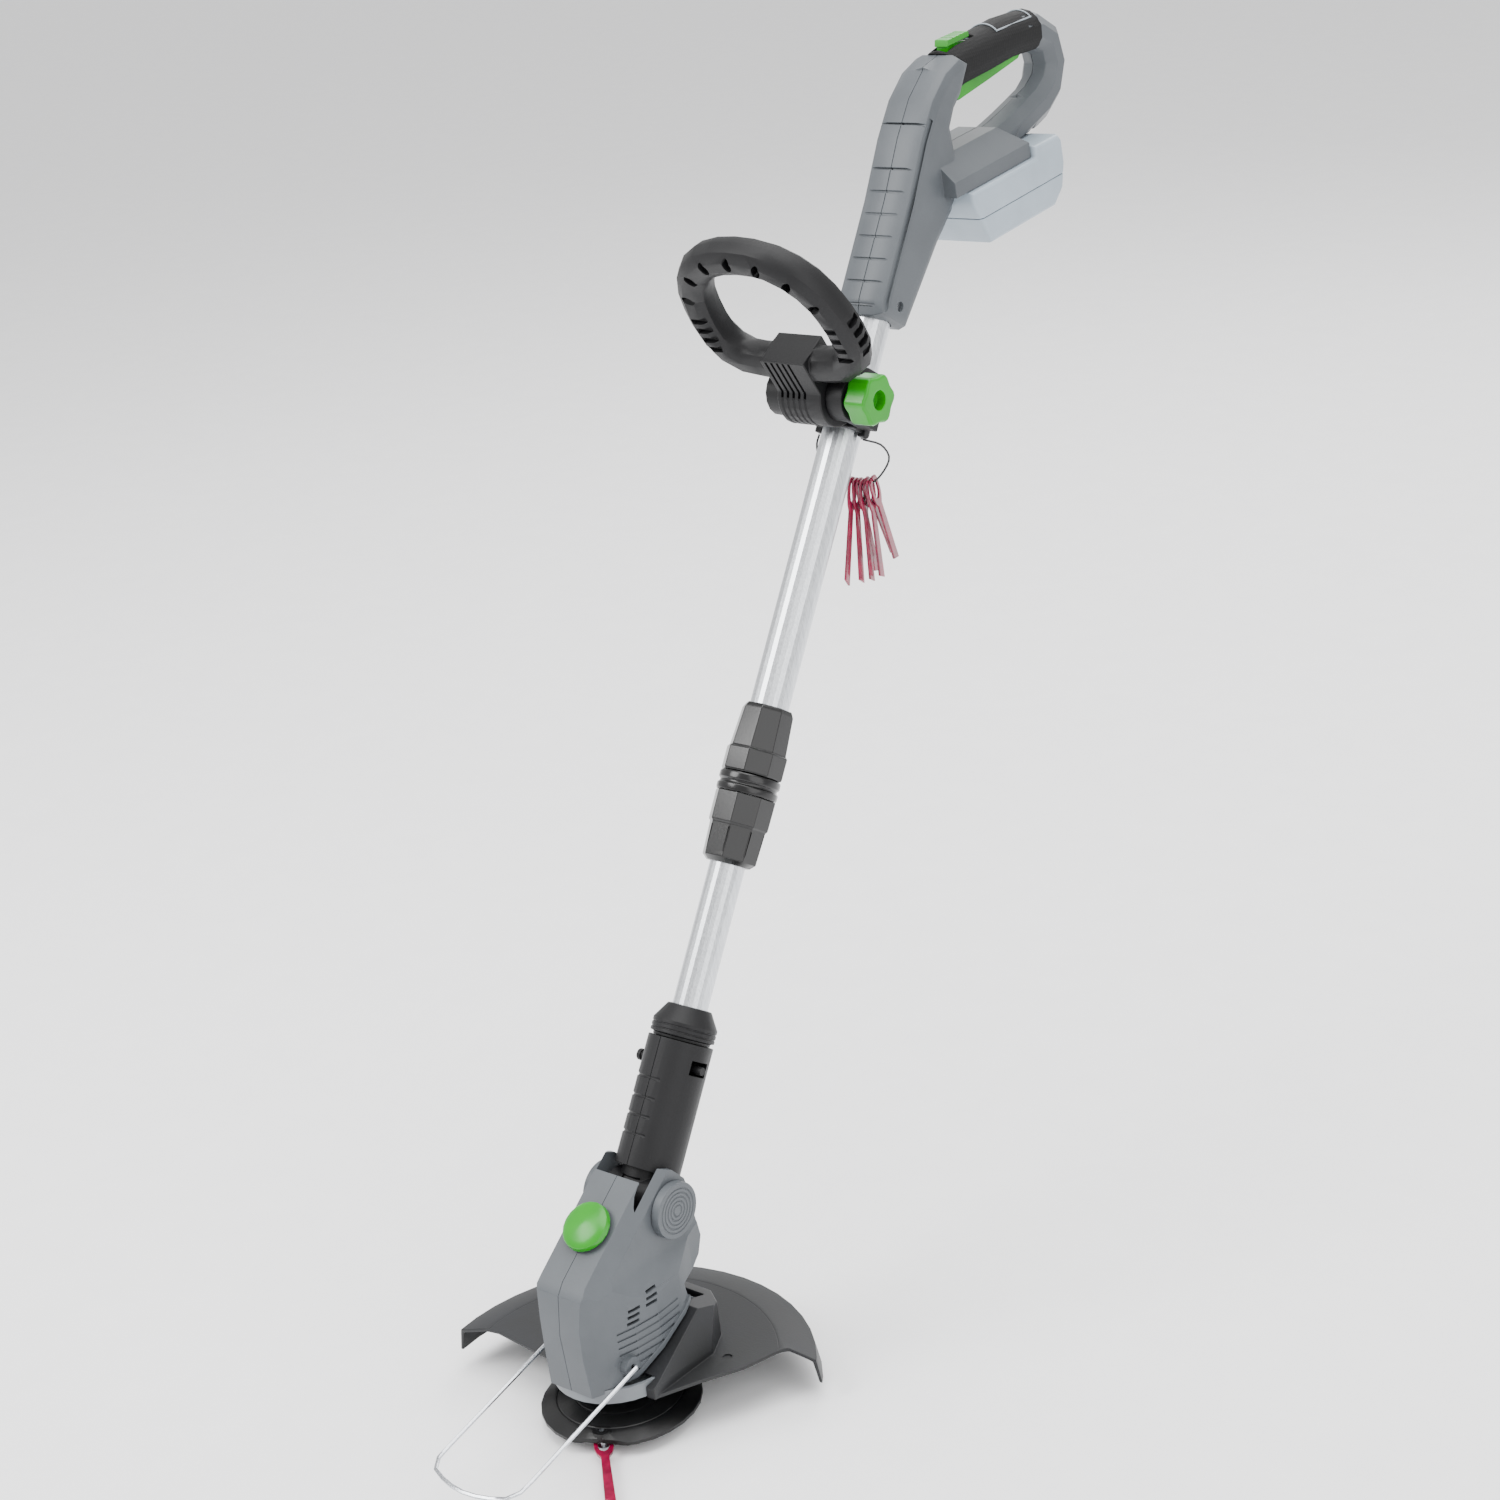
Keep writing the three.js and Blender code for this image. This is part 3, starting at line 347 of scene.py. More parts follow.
def make_finishes():
    """One material for each of the record's slots, named for what the real one is."""
    tint = bpy.context.scene.trimmer_colours
    FINISHES.update({
        "housing_grey": moulded("grey_abs", tint.housing, 0.42, grain_mm=1.4, depth=0.14,
                                cloud=0.04),
        "base_silver": moulded("satin_abs", "#6C7074", 0.36, depth=0.1, cloud=0.05),
        "disc_black": moulded("black_nylon_disc", "#0B0B0C", 0.36, grain_mm=2.0, depth=0.16,
                              cloud=0.12),
        "guard_grey": moulded("dark_polypropylene", tint.guard, 0.46, grain_mm=1.8, depth=0.2,
                              cloud=0.08),
        "black_plastic": moulded("glass_filled_nylon", tint.black, 0.5, grain_mm=1.3,
                                 depth=0.26, cloud=0.12, specular=0.3),
        "gloss_black": moulded("gloss_abs", "#09090A", 0.24, grain_mm=2.4, depth=0.08,
                               cloud=0.08, coat=0.1, specular=0.4),
        "collet_white": moulded("natural_acetal", "#CDD2D6", 0.4),
        "tube_aluminium": drawn_aluminium(),
        "steel": plated_steel("zinc_plated_steel", "#B4B7BB", 0.28),
        "wire_steel": plated_steel("bright_spring_wire", "#B9BCC1", 0.16),
        "green_plastic": moulded("green_abs", tint.green, 0.3, grain_mm=2.0, depth=0.08,
                                 cloud=0.07, coat=0.2),
        "blade_crimson": blade_nylon(tint.blade),
        "cord_black": cord_sheath(),
        "grip_rubber": soft_grip(),
        "board_green": moulded("lacquered_board", "#245A33", 0.3, grain_mm=3.0, depth=0.2,
                               cloud=0.3, coat=0.4),
        "battery_pale": moulded("pale_polycarbonate", tint.battery, 0.34, grain_mm=2.0,
                                depth=0.08, cloud=0.03, coat=0.1),
        "latch_grey": moulded("latch_acetal", "#8E969D", 0.4),
        "cell_blue": moulded("shrink_sleeve", "#3C6C9C", 0.24, grain_mm=6.0, depth=0.1,
                             cloud=0.1, coat=0.5),
    })


# ------------------------------------------------------------------ modelling
RING_SIDES = 56
RING_SECTION_SIDES = 10
PEG_SIDES = 20


def nothing_selected():
    """Starts each step from an empty selection, so that operators touch only their piece."""
    bpy.ops.object.select_all(action="DESELECT")


def only(piece):
    """Makes the piece the one that is selected and active."""
    nothing_selected()
    piece.select_set(True)
    bpy.context.view_layer.objects.active = piece


def apply_modifier(piece, kind, **settings):
    """Adds a modifier with these settings and bakes it into the mesh."""
    only(piece)
    modifier = piece.modifiers.new(kind.lower(), kind)
    for key, value in settings.items():
        setattr(modifier, key, value)
    bpy.ops.object.modifier_apply(modifier=modifier.name)


def placed(piece, name, place, size=(1, 1, 1)):
    """Names the active primitive and bakes its size and place into its mesh."""
    piece.name = name
    piece.data.name = name
    piece.matrix_world = place @ Matrix.Diagonal((*size, 1))
    bpy.ops.object.transform_apply(location=True, rotation=True, scale=True)
    return piece


def slab(name, place, centre, size, edge=0.0):
    """A box, in millimetres in its own frame, with its edges bevelled in edit mode."""
    nothing_selected()
    bpy.ops.mesh.primitive_cube_add(size=1)
    at = place @ Matrix.Translation([c * MM for c in centre])
    piece = placed(bpy.context.active_object, name, at, [s * MM for s in size])
    if edge:
        bpy.ops.object.mode_set(mode="EDIT")
        bpy.ops.mesh.select_all(action="SELECT")
        bpy.ops.mesh.bevel(offset=edge * MM, segments=2, affect="EDGES")
        bpy.ops.object.mode_set(mode="OBJECT")
    return piece


def ring(name, place, centre, radius, thickness, turn=None, sides=RING_SIDES):
    """A round-section ring about the frame's z, or about its x with turn=ACROSS."""
    nothing_selected()
    bpy.ops.mesh.primitive_torus_add(
        major_radius=radius * MM, minor_radius=thickness * MM,
        major_segments=sides, minor_segments=RING_SECTION_SIDES)
    at = place @ Matrix.Translation([c * MM for c in centre])
    return placed(bpy.context.active_object, name, at @ (turn or LEVEL))


def peg(name, place, centre, radius, depth, turn=None, sides=PEG_SIDES, size=(1, 1, 1)):
    """A round or oval peg along the frame's z, or along its x with turn=ACROSS."""
    nothing_selected()
    bpy.ops.mesh.primitive_cylinder_add(vertices=sides, radius=radius * MM, depth=depth * MM)
    at = place @ Matrix.Translation([c * MM for c in centre])
    return placed(bpy.context.active_object, name, at @ (turn or LEVEL), size)


def joined(pieces):
    """Several pieces as one mesh."""
    nothing_selected()
    for piece in pieces:
        piece.select_set(True)
    bpy.context.view_layer.objects.active = pieces[0]
    if len(pieces) > 1:
        bpy.ops.object.join()
    return pieces[0]


def carve(piece, tools, operation="DIFFERENCE"):
    """Cuts the tools from the piece, or keeps only what they share, and deletes them."""
    for tool in tools:
        apply_modifier(piece, "BOOLEAN", operation=operation, object=tool, solver="EXACT")
        bpy.data.objects.remove(tool)


WELD = 0.002            # millimetres between points that are one point
FLAT_WITHIN = 0.5       # degrees between faces that are one face


def copy_of(node, name):
    """A copy of a CAD node with its doubles merged and its flat faces made whole."""
    nothing_selected()
    piece = bpy.data.objects.new(name, frame["nodes"][node].data.copy())
    bpy.context.scene.collection.objects.link(piece)
    piece.data.materials.clear()
    only(piece)
    bpy.ops.object.mode_set(mode="EDIT")
    bpy.ops.mesh.select_all(action="SELECT")
    bpy.ops.mesh.remove_doubles(threshold=WELD * MM)
    bpy.ops.mesh.dissolve_limited(angle_limit=math.radians(FLAT_WITHIN))
    bpy.ops.object.mode_set(mode="OBJECT")
    return piece


# Degrees: edges sharper than this are rounded, and edges sharper than the next stay creased.
ROUND_ABOVE = 32
CREASE_ABOVE = 38
NORMAL_WEIGHT = 90       # how far large faces govern the shading round them


def rounded(piece, radius, angle=ROUND_ABOVE):
    """Rounds the sharp edges and shades the rest smooth."""
    if radius:
        width = radius * bpy.context.scene.trimmer_sizes.edge_scale
        apply_modifier(piece, "BEVEL", width=width, segments=2, limit_method="ANGLE",
                       angle_limit=math.radians(angle), use_clamp_overlap=False,
                       miter_outer="MITER_ARC", harden_normals=False)
    only(piece)
    bpy.ops.object.shade_smooth_by_angle(angle=math.radians(CREASE_ABOVE))
    apply_modifier(piece, "WEIGHTED_NORMAL", keep_sharp=True, weight=NORMAL_WEIGHT)
    return piece


def finished(piece, node):
    """Gives the piece its slot's material and its body, and hides the node it stands in for."""
    slot = SLOT_OF[node]
    piece.data.materials.clear()
    piece.data.materials.append(FINISHES[slot])
    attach(piece, BODY_OF[node])
    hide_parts(node)
    return piece


def detailed(node, grooves=(), radius=SMALL, angle=ROUND_ABOVE, grooves_first=False):
    """A CAD node's shape with its edges rounded and grooves cut before or after that."""
    piece = copy_of(node, f"{node}_piece")
    if grooves_first:
        carve(piece, grooves)
    rounded(piece, radius, angle)
    if not grooves_first:
        carve(piece, grooves)
    return finished(rounded(piece, 0), node)


# ------------------------------------------------------------------ camera and cord
CAMERA_AT = Vector((1.2508, -1.1937, 1.1529))
CAMERA_RIGHT = Vector((0.7707, 0.6277, -0.1097))
CAMERA_UP = Vector((-0.1516, 0.3479, 0.9252))
CAMERA_LENS = 69.43      # millimetres, on the sensor below
SENSOR_WIDTH = 36


class TRIMMER_OT_camera(bpy.types.Operator):
    """Puts the camera in front of the cutter head, to its right and above it"""
    bl_idname = "trimmer.camera"
    bl_label = "Camera"

    def execute(self, context):
        data = bpy.data.cameras.new("camera")
        data.lens = CAMERA_LENS
        data.sensor_width = SENSOR_WIDTH
        camera = bpy.data.objects.new("camera", data)
        context.scene.collection.objects.link(camera)
        right = CAMERA_RIGHT.normalized()
        up = (CAMERA_UP - right * CAMERA_UP.dot(right)).normalized()
        turn = Matrix((right, up, right.cross(up))).transposed()
        camera.matrix_world = Matrix.Translation(CAMERA_AT) @ turn.to_4x4()
        context.scene.camera = camera
        return {"FINISHED"}


# Millimetres: from the clamp's left eye, under the spare blades, and up to its right eye.
CORD_ROUTE = (
    (-19, 348.8, 607.6), (-20, 346, 601), (-17.5, 345, 590), (-10, 351, 578),
    (-2, 357, 571.5), (6, 360, 569.4), (14, 362, 571), (21, 366, 578), (25, 370, 588),
    (24, 364, 599), (19, 350.2, 606.6),
)
CORD_POINTS = 33
CORD_SECTION = 3         # how finely the cord's round section is divided


def smooth_route(points, count):
    """Evenly counted points on the centripetal curve through the given ones."""
    points = [Vector(p) for p in points]
    ends = [2 * points[0] - points[1], *points, 2 * points[-1] - points[-2]]
    route = []
    for i in range(count):
        reach = i / (count - 1) * (len(points) - 1)
        at = min(int(reach), len(points) - 2)
        quad = ends[at:at + 4]
        knots = [0.0]
        for a, b in zip(quad, quad[1:]):
            knots.append(knots[-1] + math.sqrt((b - a).length))
        t = knots[1] + (reach - at) * (knots[2] - knots[1])
        level = quad
        for depth in (1, 2):
            level = [between(level[k], level[k + 1], knots[k], knots[k + depth], t)
                     for k in range(len(level) - 1)]
        route.append(between(level[0], level[1], knots[1], knots[2], t))
    return route


def between(a, b, low, high, t):
    """The point at t on the line that is at a when t is low and at b when t is high."""
    return (a * (high - t) + b * (t - low)) / (high - low)


class TRIMMER_OT_spare_cord(bpy.types.Operator):
    """Hangs the spare blades' cord between the clamp's two eyes"""
    bl_idname = "trimmer.spare_cord"
    bl_label = "Spare blade cord"

    def execute(self, context):
        diameter = context.scene.trimmer_sizes.cord_diameter
        route = [p * MM for p in smooth_route(CORD_ROUTE, CORD_POINTS)]
        curve = bpy.data.curves.new("blade_cord", "CURVE")
        curve.dimensions = "3D"
        curve.bevel_depth = diameter / 2
        curve.bevel_resolution = CORD_SECTION
        curve.use_fill_caps = True
        spline = curve.splines.new("POLY")
        spline.points.add(len(route) - 1)
        for point, place in zip(spline.points, route):
            point.co = (*place, 1)
        cord = bpy.data.objects.new("blade_cord", curve)
        context.scene.collection.objects.link(cord)
        curve.materials.append(FINISHES["cord_black"])
        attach(cord, BODY_OF["spare_blade_cord"])
        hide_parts("spare_blade_cord")
        return {"FINISHED"}


# ------------------------------------------------------------------ the pieces
FLOOR_SIZE = 14
FLOOR_DROP = 0.5         # millimetres below the cap, so that the two don't share a face
LIT_POINT = Vector((0.05, 0.2, 0.4))
SKY_STRENGTH = 1.15
# Each lamp's name, place and size in metres, and its power in watts.
LAMPS = (
    ("key", (-1.4, -1.8, 2.6), 1.6, 90), ("fill", (2.4, -0.6, 1.6), 2.4, 40),
    ("back", (-0.6, 2.6, 2.4), 2.0, 50), ("top", (0.2, 0.2, 3.4), 2.6, 110),
)


class TRIMMER_OT_stage(bpy.types.Operator):
    """Lays a pale floor and lights it with large soft lamps"""
    bl_idname = "trimmer.stage"
    bl_label = "Stage"

    def execute(self, context):
        nothing_selected()
        bpy.ops.mesh.primitive_plane_add(size=FLOOR_SIZE)
        low = cad_box[0]
        floor = placed(bpy.context.active_object, "floor",
                       Matrix.Translation((0, 0, low[2] - FLOOR_DROP * MM)),
                       (FLOOR_SIZE, FLOOR_SIZE, 1))
        floor.data.materials.append(moulded("pale_floor", "#F6F6F7", 0.8, grain_mm=30,
                                            depth=0.02, cloud=0.005))
        for name, place, size, power in LAMPS:
            data = bpy.data.lights.new(name, "AREA")
            data.size = size
            data.energy = power
            lamp = bpy.data.objects.new(name, data)
            context.scene.collection.objects.link(lamp)
            aim = LIT_POINT - Vector(place)
            lamp.matrix_world = (Matrix.Translation(place)
                                 @ aim.to_track_quat("-Z", "Y").to_matrix().to_4x4())
        world = bpy.data.worlds.new("studio")
        context.scene.world = world
        world.use_nodes = True
        sky = world.node_tree.nodes["Background"]
        sky.inputs["Color"].default_value = (1, 1, 1, 1)
        sky.inputs["Strength"].default_value = SKY_STRENGTH
        return {"FINISHED"}


NUT_GROOVES = 16
NUT_GROOVE_AT = (20.3, 0, 255)
NUT_GROOVE_SIZE = (2.4, 1.6, 18)
COLLAR_LINES = (118, 121.5)
COLLAR_RADIUS = 23.1


class TRIMMER_OT_tubes(bpy.types.Operator):
    """Models the coupler between the two tubes, with its ring and nut, and the sleeve's collar"""
    bl_idname = "trimmer.tubes"
    bl_label = "Tubes and coupler"

    def execute(self, context):
        detailed("coupler_body", radius=MEDIUM)
        detailed("coupler_ring", radius=FINE)
        ribs = [slab("nut_rib", SHAFT @ Matrix.Rotation(math.tau * i / NUT_GROOVES, 4, "Z"),
                     NUT_GROOVE_AT, NUT_GROOVE_SIZE, SLAB_EDGE) for i in range(NUT_GROOVES)]
        detailed("clamp_nut", [joined(ribs)], radius=SMALL)
        rings = [ring("collar_line", SHAFT, (0, 0, s), COLLAR_RADIUS, THIN)
                 for s in COLLAR_LINES]
        detailed("sleeve_collar", [joined(rings)], radius=FINE)
        return {"FINISHED"}


# Millimetres along the shaft, then the grooves' radius, the quarter they stay in, and the
# blank panel's turn, place and size.
SLEEVE_GROOVES = (43, 56, 69, 83)
SLEEVE_RADIUS = 23.6
FINGER_GROOVE = 1.3
GROOVED_AT = (-14, -16, 66)
GROOVED_SIZE = (44, 44, 110)
PANEL_TURN = math.radians(-35)
PANEL_AT = (24, 0, 62)
PANEL_SIZE = (1.6, 13, 58)


class TRIMMER_OT_sleeve(bpy.types.Operator):
    """Models the black sleeve over the tilt knuckle, with its finger grooves and blank panel"""
    bl_idname = "trimmer.sleeve"
    bl_label = "Sleeve"

    def execute(self, context):
        rings = joined([ring("finger_groove", SHAFT, (0, 0, s), SLEEVE_RADIUS, FINGER_GROOVE)
                        for s in SLEEVE_GROOVES])
        carve(rings, [slab("front_left", SHAFT, GROOVED_AT, GROOVED_SIZE)], "INTERSECT")
        copy = rings.copy()
        copy.data = rings.data.copy()
        context.scene.collection.objects.link(copy)
        panel = slab("blank_panel", SHAFT @ Matrix.Rotation(PANEL_TURN, 4, "Z"),
                     PANEL_AT, PANEL_SIZE, SLAB_EDGE)
        detailed("sleeve_left", [rings], radius=FINE)
        detailed("sleeve_right", [copy, panel], radius=FINE)
        detailed("rotation_lock_pin", radius=SMALL)
        detailed("tilt_knuckle", radius=FINE)
        return {"FINISHED"}


# Millimetres: the cooling fins' heights, their depth, and the stretches of wall they follow.
FIN_HEIGHTS = (52, 57.5, 63, 68.5, 74, 79.5, 85)
FIN_DEPTH = 1.8
FIN_PLAN = (
    (Vector((29.6, -25)), Vector((34, -10))), (Vector((34, -10)), Vector((37, 10))),
    (Vector((37, 10)), Vector((36.2, 32))),
)
FIN_GAP = 0.4
FIN_WIDTH = 1.7
SIDE_LINE_HEIGHT = 118
SIDE_LINE_TURN = math.radians(24)
SIDE_LINE_SIZE = (3, 52, 1.3)
SIDE_LINE_OUT, SIDE_LINE_FRONT = 36.6, -14
CASING_ROUND_ABOVE = 20
CAP_RINGS = (4, 7, 10, 13, 16)
CAP_RING_AT = 35
CAP_SIDES = 56


class TRIMMER_OT_motor_head(bpy.types.Operator):
    """Models the grey motor head, its pivot caps, base ring and tilt button"""
    bl_idname = "trimmer.motor_head"
    bl_label = "Motor head"

    def execute(self, context):
        for side, name in ((-1, "left"), (1, "right")):
            fins = []
            for z in FIN_HEIGHTS:
                for start, end in FIN_PLAN:
                    mid = (start + end) / 2
                    along = end - start
                    turn = Matrix.Rotation(-side * math.atan2(along.x, along.y), 4, "Z")
                    at = Matrix.Translation((side * mid.x * MM, mid.y * MM, z * MM))
                    fins.append(slab("fin", at @ turn, (0, 0, 0),
                                     (FIN_DEPTH, along.length - FIN_GAP, FIN_WIDTH)))
            rise = Matrix.Translation((0, 0, SIDE_LINE_HEIGHT * MM)) @ Matrix.Rotation(
                SIDE_LINE_TURN, 4, "X")
            line = slab("side_line", rise, (side * SIDE_LINE_OUT, SIDE_LINE_FRONT, 0),
                        SIDE_LINE_SIZE)
            detailed(f"motor_casing_{name}", [*fins, line], radius=CRISP,
                     angle=CASING_ROUND_ABOVE)
            node = f"pivot_cap_{name}"
            low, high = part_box(node)
            radius = (high[1] - low[1]) / 2 / MM
            thick = (high[0] - low[0]) / MM
            cap = peg(f"{node}_piece", Matrix.Translation(PIVOT),
                      (side * (max(abs(low[0]), abs(high[0])) / MM - thick / 2), 0, 0),
                      radius, thick, ACROSS, sides=CAP_SIDES)
            cap = rounded(cap, SOFT)
            rings = [ring("cap_ring", Matrix.Translation(PIVOT), (side * CAP_RING_AT, 0, 0),
                          r, THIN, ACROSS) for r in CAP_RINGS]
            carve(cap, rings)
            finished(rounded(cap, 0), node)
        detailed("motor_base", radius=MEDIUM)
        detailed("tilt_button", radius=MEDIUM)
        return {"FINISHED"}


# Millimetres: each ring's radius and height on the disc.
DISC_RINGS = ((33, 20.1), (45, 16.4))
DISC_SIDES = 64
CAP_LINE_RADIUS = 9


class TRIMMER_OT_cutter(bpy.types.Operator):
    """Models the cutter disc with its rings, the glide cap and the blade"""
    bl_idname = "trimmer.cutter"
    bl_label = "Cutter"

    def execute(self, context):
        rings = [ring("disc_ring", LEVEL, (0, 0, z), r, DEEP, sides=DISC_SIDES)
                 for r, z in DISC_RINGS]
        detailed("cutter_disc", [joined(rings)], radius=0)
        detailed("glide_cap", [ring("cap_line", LEVEL, (0, 0, 0), CAP_LINE_RADIUS, HAIRLINE)],
                 radius=SMALL)
        detailed("cutting_blade", radius=SMALL)
        return {"FINISHED"}


CREASE_HEIGHT = 38.2
CREASE_RADIUS = 113
CREASE_SIDES = 96
GUARD_ROUND_ABOVE = 20
SCREW_WELLS = ((-62, 46), (62, 46))
SCREW_WELL_HEIGHT = 39.6
SCREW_WELL_RADIUS, SCREW_WELL_DEPTH = 3.6, 6


class TRIMMER_OT_guards(bpy.types.Operator):
    """Models the debris guard with its crease and screw wells, and the wire guard"""
    bl_idname = "trimmer.guards"
    bl_label = "Guards"

    def execute(self, context):
        crease = ring("guard_crease", LEVEL, (0, 0, CREASE_HEIGHT), CREASE_RADIUS, DEEP,
                      sides=CREASE_SIDES)
        wells = [peg("screw_well", LEVEL, (x, y, SCREW_WELL_HEIGHT), SCREW_WELL_RADIUS,
                     SCREW_WELL_DEPTH) for x, y in SCREW_WELLS]
        detailed("guard", [crease, joined(wells)], radius=WIDE, angle=GUARD_ROUND_ABOVE)
        finished(rounded(copy_of("wire_guard", "wire_guard_piece"), 0), "wire_guard")
        return {"FINISHED"}


# Millimetres in the loop's own frame: the slots sit on an oval round its middle.
LOOP_SLOTS = 7
SLOT_STEP = math.radians(22)
SLOT_REACH = (60, 62)
LOOP_MIDDLE = 74
SLOT_FRONT = -11
SLOT_RADIUS, SLOT_DEPTH, SLOT_STRETCH = 3.3, 14, 1.6
ARM_RECESSES = (52, 61, 70, 79)
RECESS_OUT, RECESS_SIZE = 69.5, (7, 11, 5.6)
WINDOW_OUT, WINDOW_FRONT, WINDOW_SIZE = 57, -12, (12, 7, 5)
RECESS_EDGE = 0.8
HUB_GROOVES = (-14.5, -9.5, -4.5, 0.5, 5.5)
HUB_RADIUS = 21.8
HUB_LINE_FRONT, HUB_LINE_HEIGHT = -14.3, 26
HUB_LINE_SIZE, HUB_LINE_EDGE = (2.2, 4, 38), 0.4
EAR_RING_AT = 33.6
EAR_RING_RADIUS = 12
LOOP_ROUND_ABOVE = 40
KNOB_ROUND_ABOVE = 30


class TRIMMER_OT_front_handle(bpy.types.Operator):
    """Models the loop handle with its slots and ribs, its clamp, knob and bolt"""
    bl_idname = "trimmer.front_handle"
    bl_label = "Front handle"

    def execute(self, context):
        slots = []
        for i in range(LOOP_SLOTS):
            turn = SLOT_STEP * (i - LOOP_SLOTS // 2)
            x = SLOT_REACH[0] * math.sin(turn)
            z = LOOP_MIDDLE + SLOT_REACH[1] * math.cos(turn)
            place = LOOP @ Matrix.Translation((x * MM, SLOT_FRONT * MM, z * MM))
            flat = place @ Matrix.Rotation(turn, 4, "Y") @ Matrix.Rotation(
                math.pi / 2, 4, "X")
            slots.append(peg("loop_slot", flat, (0, 0, 0), SLOT_RADIUS, SLOT_DEPTH,
                             size=(1, SLOT_STRETCH, 1)))
        ribs = []
        for side in (-1, 1):
            for z in ARM_RECESSES:
                ribs.append(slab("arm_recess", LOOP, (side * RECESS_OUT, 0, z), RECESS_SIZE,
                                 RECESS_EDGE))
                ribs.append(slab("arm_window", LOOP, (side * WINDOW_OUT, WINDOW_FRONT, z),
                                 WINDOW_SIZE, RECESS_EDGE))
        hub = [ring("hub_groove", LOOP, (x, 0, 0), HUB_RADIUS, BROAD, ACROSS)
               for x in HUB_GROOVES]
        face = [slab("hub_line", LOOP, (x, HUB_LINE_FRONT, HUB_LINE_HEIGHT), HUB_LINE_SIZE,
                     HUB_LINE_EDGE) for x in HUB_GROOVES]
        detailed("front_handle", [joined(slots), joined(ribs), joined(hub), joined(face)],
                 radius=SOFT, angle=LOOP_ROUND_ABOVE)
        ear_rings = [ring("ear_ring", Matrix.Translation(BOLT), (side * EAR_RING_AT, 0, 0),
                          EAR_RING_RADIUS, DEEP, ACROSS) for side in (-1, 1)]
        detailed("handle_clamp", [joined(ear_rings)], radius=WIDE)
        detailed("clamp_knob", radius=SOFT, angle=KNOB_ROUND_ABOVE)
        detailed("clamp_bolt", radius=SMALL)
        return {"FINISHED"}


# Millimetres: the grip's radius, and its pale outline's ends along y, their drop below the
# grip's highest line, and the side lines' place, length and width.
GRIP_RADIUS = 16.8
OUTLINE_ENDS = ((560, 2.6), (604, 0.0))
OUTLINE_DROP = math.atan2(2.6, 44)
OUTLINE_SIDE = (12, 582, 10.6)
OUTLINE_SIZE = (1.1, 45, 1.1)
OUTLINE_SECTION = 0.55
OUTLINE_EDGE = 0.3
OUTLINE_KEPT_AT, OUTLINE_KEPT = (0, 0, 17), (24.4, 8, 22)
# Millimetres along the shaft, then the front face's place at the lowest groove and its slope.
STRIP_GROOVES = (644, 660.5, 677, 693.5, 710, 726.5, 743, 776)
STRIP_FRONT = -20.6
STRIP_SLOPE = 0.022
STRIP_OUT, STRIP_SINK, STRIP_SIZE = 10, 0.2, (20.4, 3, 1.6)
STRIP_EDGE_TURN = math.radians(1.3)
STRIP_EDGE_OUT, STRIP_EDGE_FRONT, STRIP_EDGE_HEIGHT = 20.4, -2, 712
STRIP_EDGE_SIZE = (1.4, 9, 140)
HOUSING_ROUND_ABOVE = 34
# Millimetres along y, then where each face starts, its slope, and the ribs' size.
TRIGGER_RIBS = (520, 526, 532, 538)
TRIGGER_START, TRIGGER_SLOPE, TRIGGER_SINK = 512, 0.12, 0.2
TRIGGER_RIB_SIZE = (20, 1.2, 1.6)
BUTTON_RIBS = (514, 519, 524, 529)
BUTTON_END, BUTTON_SLOPE = 530, 0.1
BUTTON_RIB_SIZE = (16, 1.1, 1.2)


